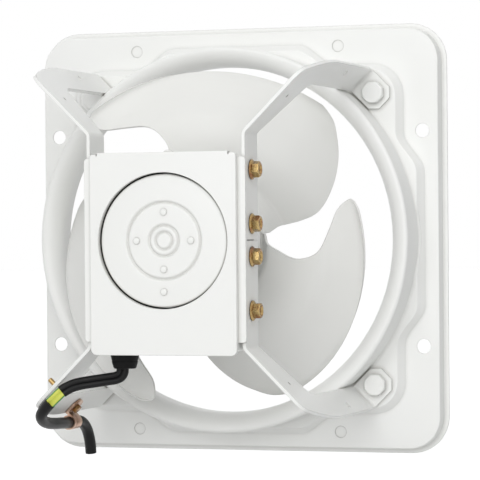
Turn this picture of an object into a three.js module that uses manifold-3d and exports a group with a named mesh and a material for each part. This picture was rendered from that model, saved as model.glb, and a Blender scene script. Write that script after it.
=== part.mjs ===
// Window exhaust fan of the 30 cm class. A square pressed panel carries a bell-mouth throat, four bent
// arms stand on its corners, and between them a bracket holds the motor that turns a three-blade
// propeller. Millimetres.
//
// The fan is modelled along its own shaft: x to the right, y up, z ("out") from the wall towards the
// room, with z = 0 on the flat front of the panel's border. The last group turns it into the part's
// frame, where +Z is up, the room is on the -Y side and the origin is on the shaft's axis in the
// plane of the wall.

import * as THREE from "three";
import { mergeVertices } from "three/addons/utils/BufferGeometryUtils.js";
import Module from "manifold-3d";

const wasm = await Module();
wasm.setup();

// ---- Driving dimensions -------------------------------------------------------------------------

// Facets round a full circle
const BELL_FACETS = 40;
const MOTOR_FACETS = 28;
const TURNED_FACETS = 20;
const BOLT_FACETS = 10;

// Clearances between neighbouring pieces
const SEAT_GAP = 0.3;
const SHAFT_FIT = 0.05;
const BOLT_FIT = 0.25;
const HOLE_FIT = 0.4;

// Throat and bell mouth
const THROAT_RADIUS = 160.75;
const THROAT_BACK = 22;
const FLARE_START = 34;
const FLARE_WIDTH = 14.65;
const FLARE_HEIGHT = 18.8;
const BEAD_RADIUS = 3.2;
const BELL_TAPER = 1.6;

// Panel
const PANEL_SHEET = 1.4;
const RIM_DEPTH = 17;
const RIM_EDGE_RADIUS = 3;
const RIM_CORNER_RADIUS = 30;
const LIP_WIDTH = 5;
const BORDER_WIDTH = 12;
const STEP_HEIGHT = 10;
const STEP_RUN = 7;
const STEP_TUCK = 1;
const JOG_START = 62;
const JOG_END = 98;
const CORNER_MARGIN = 19;
const CORNER_ROUNDING = 24;
const MOUNT_HOLE_RADIUS = 6.5;
const MOUNT_INSET = 15;
const MOUNT_OFFSET = 99.7;
const DIMPLE_RADIUS = 5.5;
const DIMPLE_DEPTH = 0.7;

// Arms
const ARM_SHEET = 3.2;
const ARM_FRONT = 203;
const ARM_DEPTH = 35;
const ARM_BEND_RADIUS = 4;
const ARM_BEND_HEIGHT = 93.1;
const ARM_ANGLE = Math.PI / 4;
const LEG_WIDTH = 28;
const LEG_CLEARANCE = 0.5;
const LEG_SHOULDER = 120;
const LEG_NECK = 12;
const LEG_CURVE = 15;
const BEAM_NOSE = 14;
const ELBOW_RISE = 18;
const ELBOW_ROUNDING = 12;
const FOOT_LENGTH = 30;
const FOOT_CHAMFER = 7;
const FOOT_BEND_RADIUS = 3;
const FOOT_BOLT_OFFSET = 16;
const PILOT_HOLE_RADIUS = 1.75;
const PILOT_INSET = 16.6;
const PILOT_DEPTH = 23;

// Motor bracket
const BRACKET_SHEET = 3.2;
const PLATE_SHEET = 3;
const PLATE_OVERHANG = 1.2;
const PLATE_TOP = 72.3;
const PLATE_BOTTOM = -88.4;
const PLATE_CORNER_RADIUS = 3;
const FLANGE_MARGIN = 2.4;
const OPENING_CLEARANCE = 3.5;
const BRACKET_CLEARANCE = 8.4;

// Bolts
const BOLT_RADIUS = 4;
const SIDE_BOLT_ROWS = [14.3, 61.3];
const SIDE_BOLT_DEPTH = 17.5;
const HEX_FLANGE_RADIUS = 8.95;
const HEX_FLANGE_HEIGHT = 1.8;
const HEX_ACROSS_FLATS = 12.7;
const HEX_HEAD_HEIGHT = 8.1;
const ROUND_HEAD_RADIUS = 7;
const ROUND_HEAD_HEIGHT = 4.2;
const NUT_ACROSS_FLATS = 13;
const NUT_HEIGHT = 6.5;
const FOOT_HEAD_ACROSS_FLATS = 19;
const FOOT_HEAD_HEIGHT = 7.5;
const MOTOR_SCREW_RADIUS = 2.4;
const MOTOR_SCREW_HEAD_RADIUS = 4.2;
const MOTOR_SCREW_HEAD_HEIGHT = 2.8;

// Cover over the motor's front and the wiring
const COVER_SHEET = 1.2;
const COVER_DEPTH = 5.4;
const COVER_HALF_WIDTH = 67.15;
const COVER_TOP = 77;
const COVER_BOTTOM = -99.7;
const COVER_CORNER_RADIUS = 5.5;
const COVER_EDGE_RADIUS = 2;
const COVER_STEP_WIDTH = 6;
const COVER_STEP_DROP = 1.5;
const COVER_RING_GAP = 1.4;
const COVER_NOTCH = 1;
const GASKET_INSIDE = 0.6;
const GASKET_WIDTH = 2.3;
const GASKET_HEIGHT = 2.7;
const BUMP_WIDTH = 8;
const BUMP_HEIGHT = 2;
const BUMP_OFFSET = 5;

// Wiring box under the motor
const BOX_SHEET = 1.2;
const BOX_GAP = 0.6;
const BOX_TOP = -70;
const BOX_LIP = 3.2;
const BOX_CORNER_RADIUS = 3;
const WIRE_HOLE_RADIUS = 6;
const WIRE_HOLE_X = 20;
const CAPACITOR_WIDTH = 46;
const CAPACITOR_HEIGHT = 28;
const CAPACITOR_THICKNESS = 18;
const CAPACITOR_X = 32;
const TERMINAL_WIDTH = 22;
const TERMINAL_HEIGHT = 12;
const TERMINAL_DEPTH = 17;
const TERMINAL_X = -10;

// Motor
const MOTOR_RADIUS = 58;
const MOTOR_WALL = 2;
const MOTOR_LENGTH = 96;
const CAP_DEPTH = 12;
const CAP_RISE = 1.7;
const CAP_WALL = 3.5;
const CAP_EDGE_RADIUS = 1.5;
const CAP_GROOVE_RADIUS = 33.5;
const CAP_BOSS_RADIUS = 13.4;
const CAP_CENTRE_RADIUS = 7.6;
const CAP_GROOVE_DEPTH = 0.7;
const PIMPLE_RADIUS = 3.15;
const PIMPLE_HEIGHT = 0.8;
const PIMPLE_CIRCLE = 25;
const PIMPLE_LOW = 44.5;
const EAR_REACH = 8;
const EAR_THICKNESS = 4;
const EAR_HALF_WIDTH = 6.5;
const SHIELD_HEIGHT = 6;
const SHAFT_RADIUS = 6;
const SHAFT_END = 62;
const THREAD_RADIUS = 4;
const BEARING_RADIUS = 16;
const BEARING_WIDTH = 10;
const BEARING_HOUSING = 4;
const STATOR_FIT = 0.1;
const STACK_HEIGHT = 50;
const STACK_INSET = 19;
const STATOR_BORE = 32.3;
const AIR_GAP = 0.5;
const SLOTS = 12;
const SLOT_START = 35;
const SLOT_DEPTH = 11.5;
const SLOT_WIDTH = 6.6;
const COIL_HEIGHT = 8.5;
const END_RING_HEIGHT = 3;
const END_RING_WIDTH = 9;
const WAVE_WASHER_HEIGHT = 0.6;

// Propeller
const BLADES = 3;
const TIP_CLEARANCE = 6.75;
const BLADE_SHEET = 2;
const HUB_RADIUS = 50;
const HUB_PLANE = 81;
const ROOT_FRONT = 104;
const ROOT_REAR = 58;
const TIP_FRONT = 122;
const TIP_REAR = 29.5;
const CAMBER = 6;
const BLEND_WIDTH = 14;
const BOSS_RADIUS = 13;
const BOSS_REAR_LENGTH = 8;
const BOSS_FRONT = 100;
const BOSS_FLANGE_RADIUS = 26;
const BOSS_FLANGE_HEIGHT = 3;
const RIVETS = 6;
const RIVET_CIRCLE = 19.5;
const RIVET_RADIUS = 2.5;
const RIVET_HEAD_RADIUS = 4.5;
const RIVET_HEAD_HEIGHT = 2;
const HUB_WASHER_RADIUS = 9;
const HUB_WASHER_HEIGHT = 1.6;

// Blade outline as angles, in degrees, at heights from the hub (0) to the tip (1)
const LEADING_EDGE = [[0, 121], [0.19, 114], [0.36, 109.4], [0.5, 110.8], [0.61, 115], [0.7, 123.5],
  [0.8, 131], [0.92, 133.8], [0.97, 133], [1, 129.5]];
const TRAILING_EDGE = [[0, 11], [0.12, 12.8], [0.29, 12.8], [0.44, 15.3], [0.61, 23.7], [0.78, 33.7],
  [0.88, 40.6], [0.96, 46.5], [1, 53]];

// Cable gland, supply cord and its clamp
const GLAND_X = -45.3;
const GLAND_DEPTH = 18;
const GLAND_TOP_RADIUS = 13.6;
const GLAND_END_RADIUS = 10.2;
const GLAND_LENGTH = 16;
const GLAND_FLANGE_RADIUS = 14.6;
const GLAND_FLANGE_HEIGHT = 3;
const GLAND_NECK_RADIUS = 11;
const CORD_RADIUS = 5.2;
const CORD_SIDES = 10;
const CORD_LEAN = 2.2;
const CLAMP_SHEET = 1.2;
const CLAMP_WIDTH = 18;
const CLAMP_OUT = 101.5;
const CLAMP_REACH = 2.61;
const CLAMP_OFF = 12.6;
const CLAMP_SCREW_INSET = 9.5;
const CLAMP_SCREW_RADIUS = 2.5;
const CLAMP_SCREW_LENGTH = 36.5;
const CLAMP_HEAD_ACROSS_FLATS = 8;
const CLAMP_HEAD_HEIGHT = 3.6;
const CLAMP_NUT_HEIGHT = 4;
const TIE_HOLE_OUT = 80;

// The cord's route after the gland: down and left behind the lower left arm, round that arm's outer
// edge, back towards the wall through the clamp, and down to its cut end
const CORD_ROUTE = [
  [-47.6, -115.4, 185],
  [-49.6, -118.9, 185.2],
  [-53.8, -120.9, 185.8],
  [-60.2, -122, 186.9],
  [-68.1, -123.2, 188.4],
  [-75.9, -124.4, 190.4],
  [-82.5, -125.5, 193],
  [-88.2, -126.9, 196.5],
  [-93.2, -129.2, 200],
  [-98, -132.5, 203],
  [-103.6, -137.9, 204.6],
  [-109.7, -143.5, 204.4],
  [-115.4, -148.9, 202],
  [-120.2, -154.1, 197],
  [-123, -159.1, 187],
  [-124.4, -162.8, 171],
  [-124.9, -164.6, 151.5],
  [-126.2, -165.6, 133],
  [-129, -166.8, 116],
  [-129, -166.8, 108.5],
  [-129, -166.8, 101.5],
  [-129, -166.8, 94.5],
  [-129, -166.8, 87],
  [-129, -168, 79],
  [-129, -171.5, 70.5],
  [-129, -177, 63.5],
  [-129, -184, 58.5],
  [-129, -191.5, 55.5],
  [-129, -199.3, 54],
];

// ---- Sizes that follow from them ----------------------------------------------------------------

const bellCrest = THROAT_RADIUS + FLARE_WIDTH;
const bellTop = FLARE_START + FLARE_HEIGHT;
const bellLip = bellCrest + BEAD_RADIUS;
const bellFoot = bellLip - BELL_TAPER;

const capJoint = ARM_FRONT + SEAT_GAP;
const bracketHalf = MOTOR_RADIUS + BRACKET_CLEARANCE + BRACKET_SHEET;
const armFace = bracketHalf + SEAT_GAP + ARM_SHEET;
const plateBack = capJoint;
const plateFront = plateBack + PLATE_SHEET;
const plateHalf = armFace + PLATE_OVERHANG;
const coverFace = plateFront + COVER_DEPTH;
const armRear = ARM_FRONT - ARM_DEPTH;
const boltOut = ARM_FRONT - SIDE_BOLT_DEPTH;

// The leg's inner edge just clears the bell's lip, measured along the arm from its bend
const bendSum = (armFace + ARM_BEND_HEIGHT) / Math.SQRT2;
const bendDifference = (ARM_BEND_HEIGHT - armFace) / Math.SQRT2;
const legInner = Math.sqrt((bellLip + LEG_CLEARANCE) ** 2 - bendDifference ** 2) - bendSum;
const legOuter = legInner + LEG_WIDTH;
const legMiddle = (legInner + legOuter) / 2;
const footBolt = new THREE.Vector2(
  armFace + (legMiddle + FOOT_BOLT_OFFSET) / Math.SQRT2,
  ARM_BEND_HEIGHT + (legMiddle - FOOT_BOLT_OFFSET) / Math.SQRT2,
);

const stepSide = bellFoot - STEP_TUCK + STEP_RUN;
const stepCorner = Math.max(footBolt.x, footBolt.y) + CORNER_MARGIN + STEP_RUN;
const rimHalf = stepSide + BORDER_WIDTH;
const mountHalf = rimHalf - MOUNT_INSET;

const tipRadius = THROAT_RADIUS - TIP_CLEARANCE;
const earRadius = MOTOR_RADIUS + EAR_REACH;
const bearingPocket = BEARING_RADIUS + SHAFT_FIT;
const capFace = plateFront + CAP_RISE;
const motorJoint = capFace - CAP_DEPTH;
const motorBack = capFace - MOTOR_LENGTH;
const capInside = capFace - CAP_WALL;
const stackBack = motorBack + STACK_INSET;
const stackFront = stackBack + STACK_HEIGHT;
const rearPocket = motorBack + SHIELD_HEIGHT - CAP_WALL / 2;
const hubBack = HUB_PLANE - BLADE_SHEET / 2;
const hubFront = HUB_PLANE + BLADE_SHEET / 2;
const bossBack = hubBack - BOSS_REAR_LENGTH;
const boxFront = plateFront - SEAT_GAP;
const boxBottom = COVER_BOTTOM + BOX_LIP;
const boxHalf = bracketHalf - BRACKET_SHEET - BOX_GAP;
const glandOut = ARM_FRONT - GLAND_DEPTH;

// ---- Finishes -----------------------------------------------------------------------------------

const finish = (color, roughness, metalness) => new THREE.MeshStandardMaterial({ color, roughness, metalness });
const whitePaint = finish(0xf2f2ee, 0.32, 0.1);
const bladePaint = finish(0xe6e6e2, 0.38, 0.1);
const yellowZinc = finish(0xc9a04a, 0.35, 0.9);
const copperZinc = finish(0xb9805a, 0.38, 0.9);
const bareSteel = finish(0xb8babd, 0.35, 0.9);
const laminations = finish(0x7c7f83, 0.5, 0.8);
const copperWire = finish(0xb06a34, 0.4, 0.7);
const castAluminium = finish(0xc4c6c8, 0.45, 0.8);
const blackRubber = finish(0x17181a, 0.6, 0);
const blackSheath = finish(0x1b1c1e, 0.5, 0);
const greyPlastic = finish(0x4a4c50, 0.55, 0);
const terminalPlastic = finish(0xe4dfd0, 0.5, 0);

// ---- Solids -------------------------------------------------------------------------------------

/** A closed three.js geometry as a solid that can be joined and cut. */
function solidOf(geometry) {
  const bare = geometry.clone();
  bare.deleteAttribute("normal");
  bare.deleteAttribute("uv");
  const merged = mergeVertices(bare, 1e-4);
  const corners = merged.index.array;
  const kept = [];
  for (let i = 0; i < corners.length; i += 3) {
    const [a, b, c] = corners.slice(i, i + 3);
    if (a !== b && b !== c && c !== a) kept.push(a, b, c);
  }
  return new wasm.Manifold(new wasm.Mesh({
    numProp: 3,
    vertProperties: merged.attributes.position.array,
    triVerts: new Uint32Array(kept),
  }));
}

/** A solid as a flat-shaded three.js geometry. */
function geometryOf(solid) {
  const { vertProperties, triVerts } = solid.getMesh();
  const geometry = new THREE.BufferGeometry();
  geometry.setAttribute("position", new THREE.BufferAttribute(vertProperties, 3));
  geometry.setIndex(new THREE.BufferAttribute(triVerts, 1));
  const flat = geometry.toNonIndexed();
  flat.computeVertexNormals();
  return flat;
}

const join = (first, ...others) => others.reduce((sum, next) => sum.add(next), first);
const cut = (first, ...others) => others.reduce((rest, next) => rest.subtract(next), first);

/** A shape in the x-y plane, pushed out from one height to another. */
function prism(shape, low, high, curveSegments = 12) {
  const options = { depth: high - low, bevelEnabled: false, curveSegments };
  return solidOf(new THREE.ExtrudeGeometry(shape, options).translate(0, 0, low));
}

/** A block between two corners. */
function block(x0, x1, y0, y1, z0, z1) {
  const geometry = new THREE.BoxGeometry(x1 - x0, y1 - y0, z1 - z0);
  return solidOf(geometry.translate((x0 + x1) / 2, (y0 + y1) / 2, (z0 + z1) / 2));
}

/** A profile of [radius, height] pairs, counter-clockwise, turned about the z axis. */
function turned(profile, facets = TURNED_FACETS) {
  const points = profile.map(([radius, height]) => new THREE.Vector2(radius, height));
  if (profile[0][0] > 0) points.push(points[0].clone());
  return solidOf(new THREE.LatheGeometry(points, facets).rotateX(Math.PI / 2));
}

/** A round or polygonal bar between two points. */
function bar(radius, from, to, sides = BOLT_FACETS) {
  const start = new THREE.Vector3(...from);
  const along = new THREE.Vector3(...to).sub(start);
  const geometry = new THREE.CylinderGeometry(radius, radius, along.length(), sides);
  geometry.translate(0, along.length() / 2, 0);
  geometry.applyQuaternion(new THREE.Quaternion().setFromUnitVectors(
    new THREE.Vector3(0, 1, 0), along.clone().normalize()));
  return solidOf(geometry.translate(start.x, start.y, start.z));
}

/** A polygonal bar with its flats a given distance apart. */
const flatBar = (acrossFlats, from, to, sides = 6) => bar(acrossFlats / 2 / Math.cos(Math.PI / sides), from, to, sides);

/** A skin through rings of points, counter-clockwise and from the lowest up, closed at both ends. */
function loft(rings) {
  const count = rings[0].length;
  const index = [];
  for (let ring = 0; ring + 1 < rings.length; ring++) {
    for (let i = 0; i < count; i++) {
      const a = ring * count + i;
      const b = ring * count + ((i + 1) % count);
      index.push(a, b, b + count, a, b + count, a + count);
    }
  }
  const last = (rings.length - 1) * count;
  for (const [a, b, c] of THREE.ShapeUtils.triangulateShape(rings[0].map(({ x, y }) => new THREE.Vector2(x, y)), [])) {
    index.push(c, b, a);
  }
  for (const [a, b, c] of THREE.ShapeUtils.triangulateShape(rings.at(-1).map(({ x, y }) => new THREE.Vector2(x, y)), [])) {
    index.push(last + a, last + b, last + c);
  }
  const geometry = new THREE.BufferGeometry();
  geometry.setAttribute("position", new THREE.Float32BufferAttribute(
    rings.flat().flatMap((point) => point.toArray()), 3));
  geometry.setIndex(index);
  return solidOf(geometry);
}

/** Points of an arc as [x, y] pairs, from one angle to another in equal steps. */
function arc(x, y, radiusX, radiusY, from, to, steps) {
  return Array.from({ length: steps + 1 }, (_, i) => {
    const angle = from + ((to - from) * i) / steps;
    return [x + radiusX * Math.cos(angle), y + radiusY * Math.sin(angle)];
  });
}

/** A rectangle with rounded corners as a ring of points at one height. */
function rectangleRing(halfX, halfY, radius, height, middleY = 0, steps = 4) {
  const ring = [];
  for (const [quarter, sx, sy] of [[0, 1, 1], [1, -1, 1], [2, -1, -1], [3, 1, -1]]) {
    const from = (quarter * Math.PI) / 2;
    const corner = arc(sx * (halfX - radius), middleY + sy * (halfY - radius), radius, radius, from,
      from + Math.PI / 2, steps);
    ring.push(...corner.map(([x, y]) => new THREE.Vector3(x, y, height)));
  }
  return ring;
}

/** A block with rounded upright edges and a rounded rim at its upper end. */
function pan(halfX, halfY, cornerRadius, edgeRadius, low, high, middleY = 0) {
  const rings = [rectangleRing(halfX, halfY, cornerRadius, low, middleY)];
  for (const [inset, rise] of arc(0, 0, edgeRadius, edgeRadius, 0, Math.PI / 2, 2)) {
    const back = edgeRadius - inset;
    rings.push(rectangleRing(halfX - back, halfY - back, cornerRadius - back, high - edgeRadius + rise, middleY));
  }
  return loft(rings);
}

/** Repeats a step for each quarter of the fan, with the signs of its x and y. */
function eachQuarter(step) {
  for (const [name, sx, sy] of [["upper_right", 1, 1], ["upper_left", -1, 1], ["lower_left", -1, -1],
    ["lower_right", 1, -1]]) step(name, sx, sy);
}

// ---- Orifice panel ------------------------------------------------------------------------------

/** Outline of the raised area: wide at the middle of each side, drawn in round each corner. */
function raisedRing(inset, height) {
  const side = stepSide - inset;
  const corner = stepCorner - inset;
  const radius = CORNER_ROUNDING + STEP_RUN - inset;
  const jog = [0, 0.3, 0.7, 1].map((share) => [
    side + (corner - side) * share * share * (3 - 2 * share),
    JOG_START + (JOG_END - JOG_START) * share,
  ]);
  const round = arc(corner - radius, corner - radius, radius, radius, 0, Math.PI / 2, 4);
  const quarter = [...jog, ...round, ...jog.map(([x, y]) => [y, x]).reverse()];
  const ring = [];
  for (let turn = 0; turn < 4; turn++) {
    const axis = new THREE.Vector2();
    for (const [x, y] of quarter) {
      const point = new THREE.Vector2(x, y).rotateAround(axis, (turn * Math.PI) / 2);
      ring.push(new THREE.Vector3(point.x, point.y, height));
    }
  }
  return ring;
}

/** The raised area as a block, with its sloped band an S in section. */
function raisedBlock(low, inset, drop) {
  const rings = [raisedRing(inset, low)];
  for (const share of [0, 0.35, 0.65, 1]) {
    const rise = share * share * (3 - 2 * share);
    rings.push(raisedRing(inset + STEP_RUN * share, STEP_HEIGHT * rise - drop));
  }
  return loft(rings);
}

/** Section of the bell mouth's sheet on one of its faces: 0 is the face to the air, 1 the hollow one. */
function bellSection(depth) {
  const wall = depth * PANEL_SHEET;
  const bead = arc(bellCrest, bellTop - BEAD_RADIUS, BEAD_RADIUS - wall, BEAD_RADIUS - wall, 0, Math.PI / 2, 2);
  const flare = arc(bellCrest, FLARE_START, FLARE_WIDTH + wall, FLARE_HEIGHT - wall, Math.PI / 2, Math.PI, 5);
  flare.forEach((point) => {
    if (depth) point[0] = bellCrest - (bellCrest - point[0]) * ((FLARE_WIDTH - wall) / (FLARE_WIDTH + wall));
  });
  return { outer: bellFoot - wall, bead, flare };
}

function orificePanel() {
  const air = bellSection(0);
  const hollow = bellSection(1);
  const lip = prismRing(rectangleRing(rimHalf + LIP_WIDTH, rimHalf + LIP_WIDTH, RIM_CORNER_RADIUS + LIP_WIDTH, 0),
    -RIM_DEPTH, PANEL_SHEET - RIM_DEPTH);
  const rim = pan(rimHalf, rimHalf, RIM_CORNER_RADIUS, RIM_EDGE_RADIUS, -RIM_DEPTH, 0);
  const raised = raisedBlock(-PANEL_SHEET / 2, 0, 0);
  const bell = turned([[0, 0], [air.outer, 0], [air.outer, STEP_HEIGHT], ...air.bead, [0, bellTop]], BELL_FACETS);

  const wall = PANEL_SHEET;
  const rimHollow = pan(rimHalf - wall, rimHalf - wall, RIM_CORNER_RADIUS - wall, RIM_EDGE_RADIUS - wall,
    -RIM_DEPTH - 1, -wall);
  const raisedHollow = raisedBlock(-wall - 1, 0.7 * wall, wall);
  const bellHollow = turned([[0, -wall - 1], [hollow.outer, -wall - 1], [hollow.outer, STEP_HEIGHT],
    ...hollow.bead, ...hollow.flare.slice(1), [THROAT_RADIUS + wall, THROAT_BACK], [0, THROAT_BACK]], BELL_FACETS);
  const throat = turned([[0, -wall - 2], [THROAT_RADIUS, -wall - 2], ...air.flare.slice().reverse(),
    [bellCrest, bellTop + 1], [0, bellTop + 1]], BELL_FACETS);

  const parts = [];
  const holes = [];
  for (const sx of [-1, 1]) {
    for (const sy of [-1, 1]) {
      const [mountX, mountY] = [sx * mountHalf, sy * MOUNT_OFFSET];
      holes.push(bar(MOUNT_HOLE_RADIUS, [mountX, mountY, -3 * wall], [mountX, mountY, wall], 16));
      const [dimpleX, dimpleY] = [sx * MOUNT_OFFSET, sy * mountHalf];
      parts.push(bar(DIMPLE_RADIUS, [dimpleX, dimpleY, -wall - DIMPLE_DEPTH], [dimpleX, dimpleY, -wall / 2]));
      holes.push(bar(DIMPLE_RADIUS, [dimpleX, dimpleY, -DIMPLE_DEPTH], [dimpleX, dimpleY, wall]));
      const [boltX, boltY] = [sx * footBolt.x, sy * footBolt.y];
      const nutTop = STEP_HEIGHT - wall;
      parts.push(flatBar(NUT_ACROSS_FLATS, [boltX, boltY, nutTop - NUT_HEIGHT], [boltX, boltY, nutTop + wall / 2]));
      holes.push(bar(BOLT_RADIUS + BOLT_FIT, [boltX, boltY, -wall], [boltX, boltY, STEP_HEIGHT + wall]));
    }
  }
  const shell = cut(join(lip, rim, raised, bell), rimHollow, raisedHollow, bellHollow, throat);
  return cut(join(shell, ...parts), ...holes);
}

/** A ring of points pushed out between two heights. */
function prismRing(ring, low, high) {
  return loft([low, high].map((height) => ring.map(({ x, y }) => new THREE.Vector3(x, y, height))));
}

// ---- Arms ---------------------------------------------------------------------------------------

// An arm is made in the frame of its sloping plate: x along the plate from the bend, y through its
// thickness from the outer face to the back, z out from the wall.
const armFrame = new THREE.Matrix4().makeRotationZ(ARM_ANGLE).setPosition(armFace, ARM_BEND_HEIGHT, 0);
const toArm = armFrame.clone().invert();
const inArm = (x, y, z) => new THREE.Vector3(x, y, z).applyMatrix4(toArm).toArray();
const pilotAlong = legInner - PILOT_INSET;
const clampHoleAlong = legOuter - CLAMP_SCREW_INSET;
const clampAlong = legOuter + CLAMP_REACH;

/** The bent strip seen along the shaft, as wide as the fan is deep. */
function armStrip() {
  const half = (Math.PI - ARM_ANGLE) / 2;
  const tangent = ARM_BEND_RADIUS / Math.tan(half);
  const reach = ARM_BEND_HEIGHT - SEAT_GAP / 2;
  const along = [-Math.sin(ARM_ANGLE), -Math.cos(ARM_ANGLE)];
  const back = [-Math.cos(ARM_ANGLE) * ARM_SHEET, Math.sin(ARM_ANGLE) * ARM_SHEET];
  const turn = Math.PI / 2 + ARM_ANGLE;
  const outline = [
    ...arc(tangent, -ARM_BEND_RADIUS, ARM_BEND_RADIUS, ARM_BEND_RADIUS, turn, Math.PI / 2, 3),
    [legOuter, 0],
    [legOuter, ARM_SHEET],
    ...arc(tangent, -ARM_BEND_RADIUS, ARM_BEND_RADIUS + ARM_SHEET, ARM_BEND_RADIUS + ARM_SHEET,
      Math.PI / 2, turn, 3),
    [along[0] * reach + back[0], along[1] * reach + back[1]],
    [along[0] * reach, along[1] * reach],
  ];
  return prism(new THREE.Shape(outline.map(([x, y]) => new THREE.Vector2(x, y))), STEP_HEIGHT, ARM_FRONT);
}

/** The arm's side view, along its plate (x) and out from the wall (y): beam, elbow and leg. */
function armSideView(bottom) {
  const shape = new THREE.Shape();
  const elbow = armRear - ELBOW_RISE;
  shape.moveTo(-1.5 * ARM_BEND_HEIGHT, armRear);
  shape.lineTo(0, armRear);
  shape.lineTo(legInner - ELBOW_ROUNDING * 0.7, elbow + ELBOW_ROUNDING * 0.2);
  shape.quadraticCurveTo(legInner, elbow, legInner, elbow - ELBOW_ROUNDING);
  shape.lineTo(legInner, bottom);
  shape.lineTo(legOuter, bottom);
  shape.lineTo(legOuter, LEG_SHOULDER);
  shape.quadraticCurveTo(legOuter, armRear - LEG_CURVE, legOuter - LEG_NECK, ARM_FRONT - BEAM_NOSE);
  shape.quadraticCurveTo(legOuter - 1.25 * LEG_NECK, ARM_FRONT, legOuter - 2 * LEG_NECK, ARM_FRONT);
  shape.lineTo(-1.5 * ARM_BEND_HEIGHT, ARM_FRONT);
  const depth = 1.5 * ARM_BEND_HEIGHT;
  const geometry = new THREE.ExtrudeGeometry(shape, { depth, bevelEnabled: false, curveSegments: 4 });
  return solidOf(geometry.rotateX(Math.PI / 2).translate(0, 2 * ARM_SHEET, 0));
}

/** The foot, bent off the leg's outer face and flat on the panel. */
function armFoot(legBottom) {
  const bendOut = STEP_HEIGHT + ARM_SHEET + FOOT_BEND_RADIUS;
  const outside = FOOT_BEND_RADIUS + ARM_SHEET;
  const outline = [
    [0, legBottom],
    ...arc(-FOOT_BEND_RADIUS, bendOut, FOOT_BEND_RADIUS, FOOT_BEND_RADIUS, 0, -Math.PI / 2, 3),
    [-FOOT_LENGTH, STEP_HEIGHT + ARM_SHEET],
    [-FOOT_LENGTH, STEP_HEIGHT],
    ...arc(-FOOT_BEND_RADIUS, bendOut, outside, outside, -Math.PI / 2, 0, 3),
    [ARM_SHEET, legBottom],
  ];
  const shape = new THREE.Shape(outline.map(([x, y]) => new THREE.Vector2(x, y)));
  const geometry = new THREE.ExtrudeGeometry(shape, { depth: LEG_WIDTH, bevelEnabled: false });
  const across = new THREE.Matrix4().makeBasis(
    new THREE.Vector3(0, 1, 0), new THREE.Vector3(0, 0, 1), new THREE.Vector3(1, 0, 0));
  const foot = solidOf(geometry.applyMatrix4(across).translate(legInner, 0, 0));
  const corners = [[legInner, 1], [legOuter, -1]].map(([x, side]) => prism(new THREE.Shape([
    new THREE.Vector2(x - side, -FOOT_LENGTH - 1),
    new THREE.Vector2(x + side * FOOT_CHAMFER, -FOOT_LENGTH - 1),
    new THREE.Vector2(x + side * FOOT_CHAMFER, -FOOT_LENGTH),
    new THREE.Vector2(x, FOOT_CHAMFER - FOOT_LENGTH),
    new THREE.Vector2(x - side, FOOT_CHAMFER - FOOT_LENGTH),
  ]), STEP_HEIGHT - 1, STEP_HEIGHT + 2 * ARM_SHEET));
  return cut(foot, ...corners);
}

/** An arm with its smallest hole, for the cord's clamp or a tie, at this height from the wall. */
function arm(holeOut) {
  const legBottom = STEP_HEIGHT + ARM_SHEET + 2 * FOOT_BEND_RADIUS;
  const strip = armStrip().intersect(armSideView(legBottom));
  const holes = [
    bar(BOLT_RADIUS + HOLE_FIT, [legMiddle, -FOOT_BOLT_OFFSET, 0], [legMiddle, -FOOT_BOLT_OFFSET, legBottom]),
    bar(PILOT_HOLE_RADIUS, [pilotAlong, -ARM_SHEET, ARM_FRONT - PILOT_DEPTH],
      [pilotAlong, 2 * ARM_SHEET, ARM_FRONT - PILOT_DEPTH], 8),
    bar(CLAMP_SCREW_RADIUS + BOLT_FIT, [clampHoleAlong, -ARM_SHEET, holeOut],
      [clampHoleAlong, 2 * ARM_SHEET, holeOut]),
  ];
  for (const row of SIDE_BOLT_ROWS) {
    holes.push(bar(BOLT_RADIUS + HOLE_FIT, inArm(armFace - 2 * ARM_SHEET, row, boltOut),
      inArm(armFace + ARM_SHEET, row, boltOut)));
  }
  return cut(join(strip, armFoot(legBottom + 1)), ...holes);
}

// ---- Bolts, nuts and screws, each along z with its seat at z = 0 ------------------------------------

/** A head that its chamfer cone rounds off at the outer end. */
function chamferedHead(acrossFlats, low, high, sides) {
  const corner = acrossFlats / 2 / Math.cos(Math.PI / sides);
  const chamfer = corner - acrossFlats / 2 + 0.4;
  const cone = turned([[0, low], [corner + 1, low], [corner + 1, high - (chamfer + 1) * 0.5],
    [corner - chamfer, high], [0, high]], BOLT_FACETS);
  return flatBar(acrossFlats, [0, 0, low], [0, 0, high], sides).intersect(cone);
}

function sideBolt() {
  const length = armFace + SEAT_GAP - (bracketHalf - BRACKET_SHEET - NUT_HEIGHT);
  const flange = turned([[0, 0], [HEX_FLANGE_RADIUS, 0], [HEX_FLANGE_RADIUS, 0.5 * HEX_FLANGE_HEIGHT],
    [HEX_ACROSS_FLATS / 2, 1.6 * HEX_FLANGE_HEIGHT], [0, 1.6 * HEX_FLANGE_HEIGHT]], 12);
  return join(flange, chamferedHead(HEX_ACROSS_FLATS, 0.4 * HEX_FLANGE_HEIGHT, HEX_HEAD_HEIGHT, 6),
    bar(BOLT_RADIUS, [0, 0, -length], [0, 0, HEX_FLANGE_HEIGHT / 2]));
}

/** A low round head, on the side where a taller one would stand out past the bracket. */
function roundBolt() {
  const length = armFace + SEAT_GAP - (bracketHalf - BRACKET_SHEET - NUT_HEIGHT);
  const head = turned([[0, 0], [ROUND_HEAD_RADIUS, 0], [ROUND_HEAD_RADIUS, 0.2 * ROUND_HEAD_HEIGHT],
    [0.75 * ROUND_HEAD_RADIUS, 0.75 * ROUND_HEAD_HEIGHT], [0.35 * ROUND_HEAD_RADIUS, ROUND_HEAD_HEIGHT],
    [0, ROUND_HEAD_HEIGHT]], BOLT_FACETS);
  return join(head, bar(BOLT_RADIUS, [0, 0, -length], [0, 0, ROUND_HEAD_HEIGHT / 2]));
}

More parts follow.
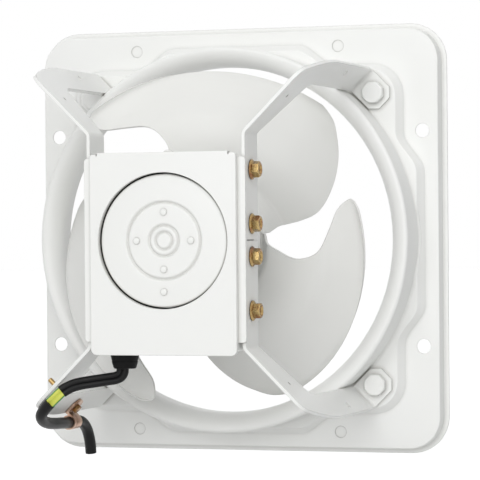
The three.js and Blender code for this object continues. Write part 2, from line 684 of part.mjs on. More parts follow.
function footBoltSolid() {
  const length = ARM_SHEET + PANEL_SHEET + NUT_HEIGHT;
  return join(chamferedHead(FOOT_HEAD_ACROSS_FLATS, 0, FOOT_HEAD_HEIGHT, 8),
    bar(BOLT_RADIUS, [0, 0, -length], [0, 0, FOOT_HEAD_HEIGHT / 2]));
}

function motorScrew() {
  const length = PLATE_SHEET + EAR_THICKNESS;
  const head = turned([[0, 0], [MOTOR_SCREW_HEAD_RADIUS, 0],
    [MOTOR_SCREW_HEAD_RADIUS, 0.5 * MOTOR_SCREW_HEAD_HEIGHT],
    [0.7 * MOTOR_SCREW_HEAD_RADIUS, MOTOR_SCREW_HEAD_HEIGHT], [0, MOTOR_SCREW_HEAD_HEIGHT]], BOLT_FACETS);
  return join(head, bar(MOTOR_SCREW_RADIUS, [0, 0, -length], [0, 0, 1]));
}

// ---- Motor bracket, cover and wiring box --------------------------------------------------------------

const openingRadius = MOTOR_RADIUS + OPENING_CLEARANCE;
const earPlaces = [1, 3, 5, 7].map((eighth) => {
  const angle = (eighth * Math.PI) / 4;
  return [earRadius * Math.cos(angle), earRadius * Math.sin(angle), angle];
});

function motorBracket() {
  const middleY = (PLATE_TOP + PLATE_BOTTOM) / 2;
  const halfY = (PLATE_TOP - PLATE_BOTTOM) / 2;
  const plate = pan(plateHalf, halfY, PLATE_CORNER_RADIUS, 1, plateBack, plateFront, middleY);
  const parts = [];
  const holes = [bar(openingRadius, [0, 0, plateBack - 1], [0, 0, plateFront + 1], MOTOR_FACETS)];
  for (const side of [-1, 1]) {
    const [inner, outer] = [bracketHalf - BRACKET_SHEET, bracketHalf].map((x) => side * x);
    const [low, high] = [Math.min(inner, outer), Math.max(inner, outer)];
    parts.push(block(low, high, PLATE_BOTTOM + FLANGE_MARGIN, PLATE_TOP - FLANGE_MARGIN, armRear, plateBack + 1));
    for (const row of SIDE_BOLT_ROWS.flatMap((y) => [y, -y])) {
      parts.push(flatBar(NUT_ACROSS_FLATS, [inner - side * NUT_HEIGHT, row, boltOut], [inner + side, row, boltOut]));
      holes.push(bar(BOLT_RADIUS + BOLT_FIT, [inner - 2 * side * NUT_HEIGHT, row, boltOut],
        [outer + side, row, boltOut]));
    }
  }
  for (const [x, y] of earPlaces) {
    holes.push(bar(MOTOR_SCREW_RADIUS + HOLE_FIT, [x, y, plateBack - 1], [x, y, plateFront + 1]));
  }
  return cut(join(plate, ...parts), ...holes);
}

/** A rubber ring in the plate's opening, on the ears, that closes the gap round the motor's cap. */
function motorGasket() {
  const inner = MOTOR_RADIUS + GASKET_INSIDE;
  const outer = inner + GASKET_WIDTH;
  return turned([[inner, plateBack], [outer, plateBack], [outer, plateBack + GASKET_HEIGHT],
    [inner, plateBack + GASKET_HEIGHT]], MOTOR_FACETS);
}

/** The cover's outline: its top edge steps down at each end, beside the relief notches. */
function coverRing(inset, height) {
  const half = COVER_HALF_WIDTH - inset;
  const radius = Math.max(COVER_CORNER_RADIUS - inset, 0.5);
  const low = COVER_BOTTOM + inset;
  const shoulder = COVER_TOP - COVER_STEP_DROP - inset;
  const step = COVER_HALF_WIDTH - COVER_STEP_WIDTH - inset;
  const right = [
    ...arc(half - radius, low + radius, radius, radius, -Math.PI / 2, 0, 3),
    ...arc(half - radius / 2, shoulder - radius / 2, radius / 2, radius / 2, 0, Math.PI / 2, 2),
    [step, shoulder],
    [step, COVER_TOP - inset],
  ];
  const left = right.map(([x, y]) => [-x, y]).reverse();
  return [...right, ...left].map(([x, y]) => new THREE.Vector3(x, y, height));
}

function coverBlock(inset, low, face) {
  const rings = [coverRing(inset, low)];
  const radius = COVER_EDGE_RADIUS - inset;
  for (const [reach, rise] of arc(0, 0, radius, radius, 0, Math.PI / 2, 2)) {
    rings.push(coverRing(COVER_EDGE_RADIUS - reach, face - radius + rise));
  }
  return loft(rings);
}

function frontCover() {
  const outside = coverBlock(0, plateFront, coverFace);
  const inside = coverBlock(COVER_SHEET, plateFront - 1, coverFace - COVER_SHEET);
  const bump = block(BUMP_OFFSET - BUMP_WIDTH / 2, BUMP_OFFSET + BUMP_WIDTH / 2, COVER_TOP - COVER_SHEET,
    COVER_TOP + BUMP_HEIGHT, plateFront, coverFace - COVER_EDGE_RADIUS);
  const ring = bar(MOTOR_RADIUS + COVER_RING_GAP, [0, 0, plateFront - 1], [0, 0, coverFace + 1], BELL_FACETS);
  const step = COVER_HALF_WIDTH - COVER_STEP_WIDTH;
  const notches = [-1, 1].map((side) => {
    const [low, high] = [side * step, side * (step - COVER_NOTCH)].sort((a, b) => a - b);
    return block(low, high, COVER_TOP - COVER_STEP_DROP - COVER_SHEET, COVER_TOP + 1, plateFront - 1, coverFace + 1);
  });
  return cut(join(cut(outside, inside), bump), ring, ...notches);
}

function wiringBox() {
  const middleY = (BOX_TOP + boxBottom) / 2;
  const halfY = (BOX_TOP - boxBottom) / 2;
  const outer = rectangleRing(boxHalf, halfY, BOX_CORNER_RADIUS, 0, middleY, 3);
  const inner = rectangleRing(boxHalf - BOX_SHEET, halfY - BOX_SHEET, BOX_CORNER_RADIUS - BOX_SHEET, 0, middleY, 3);
  const shell = cut(prismRing(outer, armRear, boxFront), prismRing(inner, armRear + BOX_SHEET, boxFront + 1));
  const underPlate = block(-plateHalf, plateHalf, PLATE_BOTTOM - SEAT_GAP, BOX_TOP + 1, plateBack, boxFront + 1);
  const glandHole = bar(GLAND_NECK_RADIUS + SEAT_GAP, [GLAND_X, boxBottom - 1, glandOut],
    [GLAND_X, boxBottom + 2 * BOX_SHEET, glandOut], TURNED_FACETS);
  const wireHole = bar(WIRE_HOLE_RADIUS, [WIRE_HOLE_X, BOX_TOP + 1, glandOut],
    [WIRE_HOLE_X, BOX_TOP - 2 * BOX_SHEET, glandOut]);
  return cut(shell, underPlate, glandHole, wireHole);
}

function capacitor() {
  const low = boxBottom + BOX_SHEET + SEAT_GAP;
  const ring = rectangleRing(CAPACITOR_WIDTH / 2, CAPACITOR_THICKNESS / 2, 3, 0, low + CAPACITOR_THICKNESS / 2, 3);
  const back = armRear + BOX_SHEET;
  const body = prismRing(ring, back, back + CAPACITOR_HEIGHT);
  const tabs = [-1, 1].map((side) => {
    const x = side * CAPACITOR_WIDTH / 4;
    const y = low + CAPACITOR_THICKNESS / 2;
    return block(x - 0.4, x + 0.4, y - 3, y + 3, back + CAPACITOR_HEIGHT - 1, back + CAPACITOR_HEIGHT + 4);
  });
  return join(body, ...tabs).translate([CAPACITOR_X, 0, 0]);
}

function terminalBlock() {
  const low = boxBottom + BOX_SHEET + SEAT_GAP;
  const back = armRear + BOX_SHEET;
  const [left, right] = [TERMINAL_X - TERMINAL_WIDTH / 2, TERMINAL_X + TERMINAL_WIDTH / 2];
  const body = block(left, right, low, low + TERMINAL_DEPTH, back, back + TERMINAL_HEIGHT);
  const wells = [-1, 0, 1].map((place) => {
    const x = TERMINAL_X + (place * TERMINAL_WIDTH) / 3;
    const y = low + TERMINAL_DEPTH / 2;
    return bar(2, [x, y, back + TERMINAL_HEIGHT / 2], [x, y, back + TERMINAL_HEIGHT + 1], 8);
  });
  return cut(body, ...wells);
}

// ---- Motor ----------------------------------------------------------------------------------------------

/** A shallow pressed groove in the cap's face, as profile points from its outer to its inner edge. */
const groove = (radius) => [[radius + CAP_GROOVE_DEPTH, capFace], [radius, capFace - CAP_GROOVE_DEPTH],
  [radius - CAP_GROOVE_DEPTH, capFace]];

function motorCap() {
  const housing = bearingPocket + BEARING_HOUSING;
  const pocketOpen = capInside - BEARING_WIDTH - WAVE_WASHER_HEIGHT;
  const shell = turned([
    [0, capInside], [bearingPocket, capInside], [bearingPocket, pocketOpen], [housing, pocketOpen],
    [housing, capInside - 1], [MOTOR_RADIUS - MOTOR_WALL, capInside - 1], [MOTOR_RADIUS - MOTOR_WALL, motorJoint],
    [MOTOR_RADIUS, motorJoint],
    ...arc(MOTOR_RADIUS - CAP_EDGE_RADIUS, capFace - CAP_EDGE_RADIUS, CAP_EDGE_RADIUS, CAP_EDGE_RADIUS, 0,
      Math.PI / 2, 2),
    ...groove(CAP_GROOVE_RADIUS), ...groove(CAP_BOSS_RADIUS), ...groove(CAP_CENTRE_RADIUS), [0, capFace],
  ], MOTOR_FACETS);
  const pimples = [[PIMPLE_CIRCLE, 0], [-PIMPLE_CIRCLE, 0], [0, PIMPLE_CIRCLE], [0, -PIMPLE_CIRCLE], [0, -PIMPLE_LOW]]
    .map(([x, y]) => turned([[0, capFace - 1], [PIMPLE_RADIUS, capFace - 1], [PIMPLE_RADIUS, capFace],
      [0.6 * PIMPLE_RADIUS, capFace + PIMPLE_HEIGHT], [0, capFace + PIMPLE_HEIGHT]], BOLT_FACETS).translate([x, y, 0]));
  const earBack = plateBack - EAR_THICKNESS;
  const ears = earPlaces.map(([x, y, angle]) => {
    const inside = MOTOR_RADIUS - MOTOR_WALL / 2;
    const web = block(inside, earRadius, -EAR_HALF_WIDTH, EAR_HALF_WIDTH, earBack, plateBack);
    const round = bar(EAR_HALF_WIDTH, [earRadius, 0, earBack], [earRadius, 0, plateBack], 16);
    const ear = join(web, round).rotate([0, 0, THREE.MathUtils.radToDeg(angle)]);
    return cut(ear, bar(MOTOR_SCREW_RADIUS + BOLT_FIT, [x, y, earBack - 1], [x, y, plateBack + 1]));
  });
  return join(shell, ...pimples, ...ears);
}

const motorCase = () => turned([[MOTOR_RADIUS - MOTOR_WALL, motorBack + SHIELD_HEIGHT],
  [MOTOR_RADIUS, motorBack + SHIELD_HEIGHT], [MOTOR_RADIUS, motorJoint], [MOTOR_RADIUS - MOTOR_WALL, motorJoint]],
  MOTOR_FACETS);

function rearShield() {
  const housing = bearingPocket + BEARING_HOUSING;
  const hole = SHAFT_RADIUS + 1;
  return turned([[hole, motorBack], [MOTOR_RADIUS - 1, motorBack], [MOTOR_RADIUS, motorBack + 1],
    [MOTOR_RADIUS, motorBack + SHIELD_HEIGHT], [MOTOR_RADIUS - MOTOR_WALL, motorBack + SHIELD_HEIGHT],
    [MOTOR_RADIUS - MOTOR_WALL, motorBack + CAP_WALL], [housing, motorBack + CAP_WALL],
    [housing, rearPocket + BEARING_WIDTH], [bearingPocket, rearPocket + BEARING_WIDTH], [bearingPocket, rearPocket],
    [hole, rearPocket]], MOTOR_FACETS);
}

function statorCore() {
  const ring = turned([[STATOR_BORE, stackBack], [MOTOR_RADIUS - MOTOR_WALL - STATOR_FIT, stackBack],
    [MOTOR_RADIUS - MOTOR_WALL - STATOR_FIT, stackFront], [STATOR_BORE, stackFront]], MOTOR_FACETS);
  return cut(ring, ...slotBars(SLOT_START, SLOT_START + SLOT_DEPTH, SLOT_WIDTH, stackBack - 1, stackFront + 1));
}

/** One radial block in each slot of the stator. */
function slotBars(inner, outer, width, low, high) {
  return Array.from({ length: SLOTS }, (_, i) => block(inner, outer, -width / 2, width / 2, low, high)
    .rotate([0, 0, ((i + 0.5) * 360) / SLOTS]));
}

function statorWinding() {
  const [inner, outer] = [SLOT_START + SEAT_GAP, SLOT_START + SLOT_DEPTH - SEAT_GAP];
  const heads = [stackFront + SEAT_GAP, stackBack - SEAT_GAP - COIL_HEIGHT].map((low) => turned([
    [inner, low], [outer + 3, low], [outer + 3, low + COIL_HEIGHT - 2], [outer + 1, low + COIL_HEIGHT],
    [inner + 1, low + COIL_HEIGHT], [inner, low + COIL_HEIGHT - 1]]));
  const sides = slotBars(inner, outer, SLOT_WIDTH - 2 * SEAT_GAP, stackBack - 2, stackFront + 2);
  return join(...heads, ...sides);
}

function rotorCore() {
  const radius = STATOR_BORE - AIR_GAP;
  const ring = radius - END_RING_WIDTH;
  const bore = SHAFT_RADIUS + SHAFT_FIT;
  return turned([[bore, stackBack], [ring, stackBack], [ring, stackBack - END_RING_HEIGHT],
    [radius - 1, stackBack - END_RING_HEIGHT], [radius, stackBack - 1], [radius, stackFront + 1],
    [radius - 1, stackFront + END_RING_HEIGHT], [ring, stackFront + END_RING_HEIGHT], [ring, stackFront],
    [bore, stackFront]]);
}

const shaft = () => turned([[0, SHAFT_END], [THREAD_RADIUS - 0.5, SHAFT_END], [THREAD_RADIUS, SHAFT_END + 0.5],
  [THREAD_RADIUS, bossBack], [SHAFT_RADIUS, bossBack], [SHAFT_RADIUS, capInside - WAVE_WASHER_HEIGHT - 1],
  [0, capInside - WAVE_WASHER_HEIGHT - 1]]);

/** A ball bearing, from its race's low face up. */
function bearing(low) {
  const [bore, high] = [SHAFT_RADIUS + SHAFT_FIT, low + BEARING_WIDTH];
  return turned([[bore, low], [BEARING_RADIUS, low], [BEARING_RADIUS, high], [bore, high]], MOTOR_FACETS);
}

const waveWasher = () => turned([[BEARING_RADIUS - 4, capInside - WAVE_WASHER_HEIGHT],
  [BEARING_RADIUS - 0.3, capInside - WAVE_WASHER_HEIGHT], [BEARING_RADIUS - 0.3, capInside],
  [BEARING_RADIUS - 4, capInside]]);

// ---- Propeller --------------------------------------------------------------------------------------------

/** An edge's angle, in radians, at a height from hub to tip, on a smooth curve through its points. */
function edgeAngle(edge, height) {
  const curve = new THREE.SplineCurve(edge.map(([x, y]) => new THREE.Vector2(x, y)));
  let [low, high] = [0, 1];
  for (let i = 0; i < 24; i++) {
    const middle = (low + high) / 2;
    if (curve.getPoint(middle).x < height) low = middle;
    else high = middle;
  }
  return THREE.MathUtils.degToRad(curve.getPoint(low).y);
}

/** How far out from the wall the middle of the blade's sheet lies. */
function bladeOut(radius, share) {
  const height = (radius - HUB_RADIUS) / (tipRadius - HUB_RADIUS);
  const front = THREE.MathUtils.lerp(ROOT_FRONT, TIP_FRONT, height);
  const rear = THREE.MathUtils.lerp(ROOT_REAR, TIP_REAR, height);
  const blade = THREE.MathUtils.lerp(rear, front, share) + CAMBER * 4 * share * (1 - share);
  const blend = THREE.MathUtils.smoothstep(radius, HUB_RADIUS, HUB_RADIUS + BLEND_WIDTH);
  return THREE.MathUtils.lerp(HUB_PLANE, blade, blend);
}

/** The three blades and the disc between them, pressed from one sheet. */
function propeller() {
  const across = 8;
  const gap = 3;
  const heights = [0, 0.1, 0.2, 0.36, 0.5, 0.61, 0.7, 0.8, 0.92, 1];
  const points = [];
  const faces = [];
  const add = (radius, angle, out) => points.push([radius * Math.cos(angle), radius * Math.sin(angle), out]) - 1;
  const discRim = [];
  for (let blade = 0; blade < BLADES; blade++) {
    const turn = (blade * 2 * Math.PI) / BLADES;
    const rows = heights.map((height) => {
      const radius = THREE.MathUtils.lerp(HUB_RADIUS, tipRadius, height);
      const from = edgeAngle(TRAILING_EDGE, height);
      const to = edgeAngle(LEADING_EDGE, height);
      return Array.from({ length: across + 1 }, (_, i) => {
        const share = i / across;
        return add(radius, turn + from + (to - from) * share, bladeOut(radius, share));
      });
    });
    for (let row = 0; row + 1 < rows.length; row++) {
      for (let i = 0; i < across; i++) {
        const [a, b, c, d] = [rows[row][i], rows[row + 1][i], rows[row + 1][i + 1], rows[row][i + 1]];
        faces.push([a, b, c], [a, c, d]);
      }
    }
    discRim.push(...rows[0]);
    const from = edgeAngle(LEADING_EDGE, 0);
    const to = edgeAngle(TRAILING_EDGE, 0) + (2 * Math.PI) / BLADES;
    for (let i = 1; i < gap; i++) discRim.push(add(HUB_RADIUS, turn + from + ((to - from) * i) / gap, HUB_PLANE));
  }
  const centre = add(0, 0, HUB_PLANE);
  discRim.forEach((corner, i) => faces.push([centre, corner, discRim[(i + 1) % discRim.length]]));
  const sheet = thicken(points, faces, BLADE_SHEET);
  const holes = [bar(BOSS_RADIUS + SEAT_GAP, [0, 0, hubBack - 1], [0, 0, hubFront + 1], TURNED_FACETS)];
  for (const [x, y] of rivetPlaces) {
    holes.push(bar(RIVET_RADIUS + SEAT_GAP, [x, y, hubBack - 1], [x, y, hubFront + 1]));
  }
  return cut(sheet, ...holes);
}

const rivetPlaces = Array.from({ length: RIVETS }, (_, i) => {
  const angle = (i * 2 * Math.PI) / RIVETS;
  return [RIVET_CIRCLE * Math.cos(angle), RIVET_CIRCLE * Math.sin(angle)];
});

/** A sheet of triangles, counter-clockwise seen from +z, given a thickness along z. */
function thicken(points, faces, thickness) {
  const count = points.length;
  const positions = [1, -1].flatMap((side) => points.flatMap(([x, y, z]) => [x, y, z + (side * thickness) / 2]));
  const index = [];
  const edges = new Map();
  for (const [a, b, c] of faces) {
    index.push(a, b, c, c + count, b + count, a + count);
    for (const [from, to] of [[a, b], [b, c], [c, a]]) {
      if (edges.has(`${to} ${from}`)) edges.delete(`${to} ${from}`);
      else edges.set(`${from} ${to}`, [from, to]);
    }
  }
  for (const [from, to] of edges.values()) {
    index.push(to, from, from + count, to, from + count, to + count);
  }
  const geometry = new THREE.BufferGeometry();
  geometry.setAttribute("position", new THREE.Float32BufferAttribute(positions, 3));
  geometry.setIndex(index);
  return solidOf(geometry);
}

function hubBoss() {
  const bore = SHAFT_RADIUS + SHAFT_FIT;
  const body = turned([[bore, bossBack], [BOSS_RADIUS - 1, bossBack], [BOSS_RADIUS, bossBack + 1],
    [BOSS_RADIUS, hubFront], [BOSS_FLANGE_RADIUS, hubFront], [BOSS_FLANGE_RADIUS, hubFront + BOSS_FLANGE_HEIGHT],
    [BOSS_RADIUS + 1, hubFront + BOSS_FLANGE_HEIGHT], [BOSS_RADIUS, hubFront + BOSS_FLANGE_HEIGHT + 1],
    [BOSS_RADIUS, BOSS_FRONT], [bore, BOSS_FRONT]]);
  const rivets = rivetPlaces.map(([x, y]) => turned([[0, hubBack - RIVET_HEAD_HEIGHT],
    [0.6 * RIVET_HEAD_RADIUS, hubBack - RIVET_HEAD_HEIGHT], [RIVET_HEAD_RADIUS, hubBack],
    [RIVET_RADIUS, hubBack], [RIVET_RADIUS, hubFront + 1], [0, hubFront + 1]], 8)
    .translate([x, y, 0]));
  return join(body, ...rivets);
}

const hubWasher = () => turned([[THREAD_RADIUS + SEAT_GAP, bossBack - HUB_WASHER_HEIGHT],
  [HUB_WASHER_RADIUS, bossBack - HUB_WASHER_HEIGHT], [HUB_WASHER_RADIUS, bossBack],
  [THREAD_RADIUS + SEAT_GAP, bossBack]]);

function hubNut() {
  const high = bossBack - HUB_WASHER_HEIGHT;
  const nut = chamferedHead(NUT_ACROSS_FLATS, -high, NUT_HEIGHT - high, 6).rotate([180, 0, 0]);
  return cut(nut, bar(THREAD_RADIUS + BOLT_FIT, [0, 0, high - 2 * NUT_HEIGHT], [0, 0, high + 1]));
}

// ---- Gland, cord and clamp ----------------------------------------------------------------------------------

/** The gland's profile runs down from inside the box: flange, neck in the wall, tapered sleeve. */
function cableGland() {
  const wallTop = BOX_SHEET + SEAT_GAP / 2;
  const profile = [[0, -GLAND_LENGTH], [GLAND_END_RADIUS - 1, -GLAND_LENGTH], [GLAND_END_RADIUS, 1 - GLAND_LENGTH],
    [GLAND_TOP_RADIUS, -SEAT_GAP - 2], [GLAND_TOP_RADIUS, -SEAT_GAP], [GLAND_NECK_RADIUS, -SEAT_GAP],
    [GLAND_NECK_RADIUS, wallTop], [GLAND_FLANGE_RADIUS, wallTop],
    [GLAND_FLANGE_RADIUS, wallTop + GLAND_FLANGE_HEIGHT], [0, wallTop + GLAND_FLANGE_HEIGHT]];
  const gland = turned(profile).rotate([-90, 0, 0]);
  return gland.translate([GLAND_X, boxBottom, glandOut]);
}

/** The cord as one tube along its route, starting square on the gland's end. */
function supplyCord() {
  const start = boxBottom - GLAND_LENGTH - SEAT_GAP;
  const route = [[GLAND_X - CORD_LEAN, start, glandOut], ...CORD_ROUTE].map((point) => new THREE.Vector3(...point));
  const extrudePath = new THREE.CatmullRomCurve3(route, false, "centripetal");
  const section = new THREE.Shape(arc(0, 0, CORD_RADIUS, CORD_RADIUS, 0, 2 * Math.PI, CORD_SIDES)
    .slice(1).map(([x, y]) => new THREE.Vector2(x, y)));
  const steps = Math.ceil(extrudePath.getLength() / (1.6 * CORD_RADIUS));
  return solidOf(new THREE.ExtrudeGeometry(section, { steps, extrudePath, bevelEnabled: false }));
}

/** The clamp's strap in an arm's frame: a loop round the cord and a doubled tab on the arm. */
function cordClamp() {
  const inner = CORD_RADIUS + SEAT_GAP;
  const outer = inner + CLAMP_SHEET;
  const [low, high] = [CLAMP_OUT - CLAMP_WIDTH / 2, CLAMP_OUT + CLAMP_WIDTH / 2];
  const tabLow = ARM_SHEET + SEAT_GAP;
  const tabHigh = tabLow + 2 * CLAMP_SHEET;
  const tab = block(clampHoleAlong - CLAMP_WIDTH / 2, clampAlong, tabLow, tabHigh, low, high);
  const neck = block(clampAlong - outer, clampAlong - outer + 2 * CLAMP_SHEET, tabLow, CLAMP_OFF, low, high);
  const loop = bar(outer, [clampAlong, CLAMP_OFF, low], [clampAlong, CLAMP_OFF, high], TURNED_FACETS);
  const bore = bar(inner, [clampAlong, CLAMP_OFF, low - 1], [clampAlong, CLAMP_OFF, high + 1], TURNED_FACETS);
  const hole = bar(CLAMP_SCREW_RADIUS + BOLT_FIT, [clampHoleAlong, 0, CLAMP_OUT],
    [clampHoleAlong, tabHigh + 1, CLAMP_OUT]);
  const over = block(legOuter + SEAT_GAP, clampAlong + outer, tabLow - 1, tabHigh, low - 1, high + 1);
  return cut(join(tab, neck, loop), bore, hole, over);
}

const clampSeat = ARM_SHEET + SEAT_GAP + 2 * CLAMP_SHEET;

function clampScrew() {
  const place = (y) => [clampHoleAlong, clampSeat + y, CLAMP_OUT];
  const head = flatBar(CLAMP_HEAD_ACROSS_FLATS, place(0), place(CLAMP_HEAD_HEIGHT));
  const shank = bar(CLAMP_SCREW_RADIUS, place(-CLAMP_SCREW_LENGTH), place(1), 8);
  return join(head, shank);
}

function clampNut() {
  const place = (y) => [clampHoleAlong, y, CLAMP_OUT];
  const nut = flatBar(CLAMP_HEAD_ACROSS_FLATS, place(-SEAT_GAP - CLAMP_NUT_HEIGHT), place(-SEAT_GAP));
  return cut(nut, bar(CLAMP_SCREW_RADIUS + BOLT_FIT, place(-SEAT_GAP - 2 * CLAMP_NUT_HEIGHT), place(1)));
}

// ---- The fan ------------------------------------------------------------------------------------------------

/** Makes a named mesh, puts it in a group and returns it. */
function place(group, name, geometry, material) {
  const mesh = new THREE.Mesh(geometry, material);
  mesh.name = name;
  group.add(mesh);
  return mesh;
}

const fan = new THREE.Group();
place(fan, "orifice_panel", geometryOf(orificePanel()), whitePaint);
place(fan, "motor_bracket", geometryOf(motorBracket()), whitePaint);
place(fan, "front_cover", geometryOf(frontCover()), whitePaint);
place(fan, "motor_gasket", geometryOf(motorGasket()), blackRubber);
place(fan, "wiring_box", geometryOf(wiringBox()), whitePaint);
place(fan, "capacitor", geometryOf(capacitor()), greyPlastic);
place(fan, "terminal_block", geometryOf(terminalBlock()), terminalPlastic);
place(fan, "motor_cap", geometryOf(motorCap()), whitePaint);
place(fan, "motor_case", geometryOf(motorCase()), whitePaint);
place(fan, "motor_rear_shield", geometryOf(rearShield()), whitePaint);
place(fan, "stator_core", geometryOf(statorCore()), laminations);
place(fan, "stator_winding", geometryOf(statorWinding()), copperWire);
place(fan, "front_bearing", geometryOf(bearing(capInside - WAVE_WASHER_HEIGHT - BEARING_WIDTH)), bareSteel);
place(fan, "rear_bearing", geometryOf(bearing(rearPocket)), bareSteel);
place(fan, "bearing_wave_washer", geometryOf(waveWasher()), bareSteel);
place(fan, "cable_gland", geometryOf(cableGland()), blackRubber);
place(fan, "supply_cord", geometryOf(supplyCord()), blackSheath);

const rotor = new THREE.Group();
place(rotor, "motor_shaft", geometryOf(shaft()), bareSteel);
place(rotor, "rotor_core", geometryOf(rotorCore()), castAluminium);
place(rotor, "propeller", geometryOf(propeller()), bladePaint);
place(rotor, "propeller_boss", geometryOf(hubBoss()), bareSteel);
place(rotor, "hub_washer", geometryOf(hubWasher()), bareSteel);
place(rotor, "hub_nut", geometryOf(hubNut()), bareSteel);
fan.add(rotor);

const armGeometry = geometryOf(arm(TIE_HOLE_OUT));
const clampedArmGeometry = geometryOf(arm(CLAMP_OUT));
const sideBoltGeometry = geometryOf(sideBolt());
const roundBoltGeometry = geometryOf(roundBolt());
const footBoltGeometry = geometryOf(footBoltSolid());
const motorScrewGeometry = geometryOf(motorScrew());

eachQuarter((name, sx, sy) => {
  const corner = new THREE.Group();
  corner.scale.set(sx, sy, 1);
  const clamped = name === "lower_left";
  const armMesh = place(corner, `arm_${name}`, clamped ? clampedArmGeometry : armGeometry, whitePaint);
  armMesh.rotation.z = ARM_ANGLE;
  armMesh.position.set(armFace, ARM_BEND_HEIGHT, 0);
  fan.add(corner);

  const bolt = place(fan, `foot_bolt_${name}`, footBoltGeometry, whitePaint);
  bolt.position.set(sx * footBolt.x, sy * footBolt.y, STEP_HEIGHT + ARM_SHEET);

  SIDE_BOLT_ROWS.forEach((row, i) => {
    const boltGeometry = sx < 0 ? roundBoltGeometry : sideBoltGeometry;
    const side = place(fan, `side_bolt_${name}_${i + 1}`, boltGeometry, yellowZinc);
    side.rotation.y = (sx * Math.PI) / 2;
    side.position.set(sx * (armFace + SEAT_GAP), sy * row, boltOut);
  });
});

earPlaces.forEach(([x, y], i) => {
  const screw = place(fan, `motor_screw_${i + 1}`, motorScrewGeometry, bareSteel);
  screw.position.set(x, y, plateFront);
});

// The clamp hangs on the lower left arm, in that arm's mirrored frame
const clampCorner = new THREE.Group();
clampCorner.rotation.z = Math.PI;
const clampArm = new THREE.Group();
clampArm.rotation.z = ARM_ANGLE;
clampArm.position.set(armFace, ARM_BEND_HEIGHT, 0);
place(clampArm, "cord_clamp", geometryOf(cordClamp()), copperZinc);
place(clampArm, "clamp_screw", geometryOf(clampScrew()), yellowZinc);
place(clampArm, "clamp_nut", geometryOf(clampNut()), yellowZinc);
clampCorner.add(clampArm);
fan.add(clampCorner);

fan.rotation.x = Math.PI / 2;
fan.position.y = -RIM_DEPTH;

const part = new THREE.Group();
part.add(fan);

export default part;
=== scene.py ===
"""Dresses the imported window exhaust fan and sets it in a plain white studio.

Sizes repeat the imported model's. Lengths are millimetres along the fan's own directions: x to the
right, y up and w out from the wall towards the room, with w = 0 on the front of the panel's border.
FAN turns them into the frame's metres.
"""

import logging
import math
from contextlib import contextmanager
from dataclasses import dataclass
from enum import Enum
from typing import Iterable, Iterator, Sequence

import bpy
import numpy as np
from mathutils import Matrix, Vector


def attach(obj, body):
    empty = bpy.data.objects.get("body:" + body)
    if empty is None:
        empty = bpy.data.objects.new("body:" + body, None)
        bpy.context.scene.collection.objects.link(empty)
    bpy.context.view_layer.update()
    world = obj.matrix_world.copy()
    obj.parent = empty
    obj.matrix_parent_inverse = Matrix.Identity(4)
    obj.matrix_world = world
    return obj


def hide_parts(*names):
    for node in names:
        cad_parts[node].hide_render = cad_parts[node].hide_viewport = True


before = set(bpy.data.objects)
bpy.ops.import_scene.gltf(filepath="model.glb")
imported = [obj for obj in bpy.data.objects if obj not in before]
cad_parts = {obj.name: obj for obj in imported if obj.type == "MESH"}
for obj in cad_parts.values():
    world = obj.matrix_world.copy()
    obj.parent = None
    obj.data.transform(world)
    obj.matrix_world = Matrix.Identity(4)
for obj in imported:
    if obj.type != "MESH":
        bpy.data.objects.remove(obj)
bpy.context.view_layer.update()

LOG = logging.getLogger("fan")

MM = 0.001
RIM_DEPTH = 17.0
FAN = Matrix(((MM, 0, 0, 0), (0, 0, -MM, -RIM_DEPTH * MM), (0, MM, 0, 0), (0, 0, 0, 1)))
QUARTERS = {"upper_right": (1, 1), "upper_left": (-1, 1), "lower_left": (-1, -1), "lower_right": (1, -1)}
OWN = Matrix.Identity(4)
STATIC, ROTOR = "fan_frame", "rotor"
Point = tuple[float, ...]
Piece, Tree, Socket = bpy.types.Object, bpy.types.NodeTree, bpy.types.NodeSocket


# ---- Modelling ------------------------------------------------------------------------------------


def select_only(*pieces: Piece) -> None:
    """Selects these pieces and nothing else, the first of them active."""
    bpy.ops.object.select_all(action="DESELECT")
    for piece in pieces:
        piece.select_set(True)
    bpy.context.view_layer.objects.active = pieces[0]


@contextmanager
def editing(piece: Piece, mode: str = "FACE") -> Iterator[None]:
    """Opens a piece in edit mode with all of it selected, and closes it again."""
    select_only(piece)
    bpy.ops.object.mode_set(mode="EDIT")
    bpy.ops.mesh.select_mode(type=mode)
    bpy.ops.mesh.select_all(action="SELECT")
    yield
    bpy.ops.object.mode_set(mode="OBJECT")


def move_vertices(piece: Piece, points: np.ndarray) -> None:
    """Puts a primitive's vertices at these points, in metres."""
    piece.data.vertices.foreach_set("co", np.asarray(points, np.float32).ravel())
    piece.data.update()


def mapped(points: Iterable[Point], place: Matrix) -> np.ndarray:
    """Points of two or three coordinates, taken through a matrix."""
    return np.array([place @ Vector((*point, 0.0)[:3]) for point in points])


def cleaned(piece: Piece, reach: float = 1e-6) -> Piece:
    """Merges doubled vertices and turns all faces outwards."""
    with editing(piece):
        bpy.ops.mesh.remove_doubles(threshold=reach)
        bpy.ops.mesh.dissolve_degenerate(threshold=reach)
        bpy.ops.mesh.select_all(action="SELECT")
        bpy.ops.mesh.normals_make_consistent(inside=False)
    return piece


def closed(piece: Piece, sides: int = 6) -> Piece:
    """Fills the small open corners that a cut or a bevel may leave."""
    with editing(piece, "EDGE"):
        bpy.ops.mesh.select_all(action="DESELECT")
        bpy.ops.mesh.select_non_manifold(extend=False, use_wire=False, use_multi_face=False,
                                         use_non_contiguous=False, use_verts=False)
        bpy.ops.mesh.fill_holes(sides=sides)
    return piece


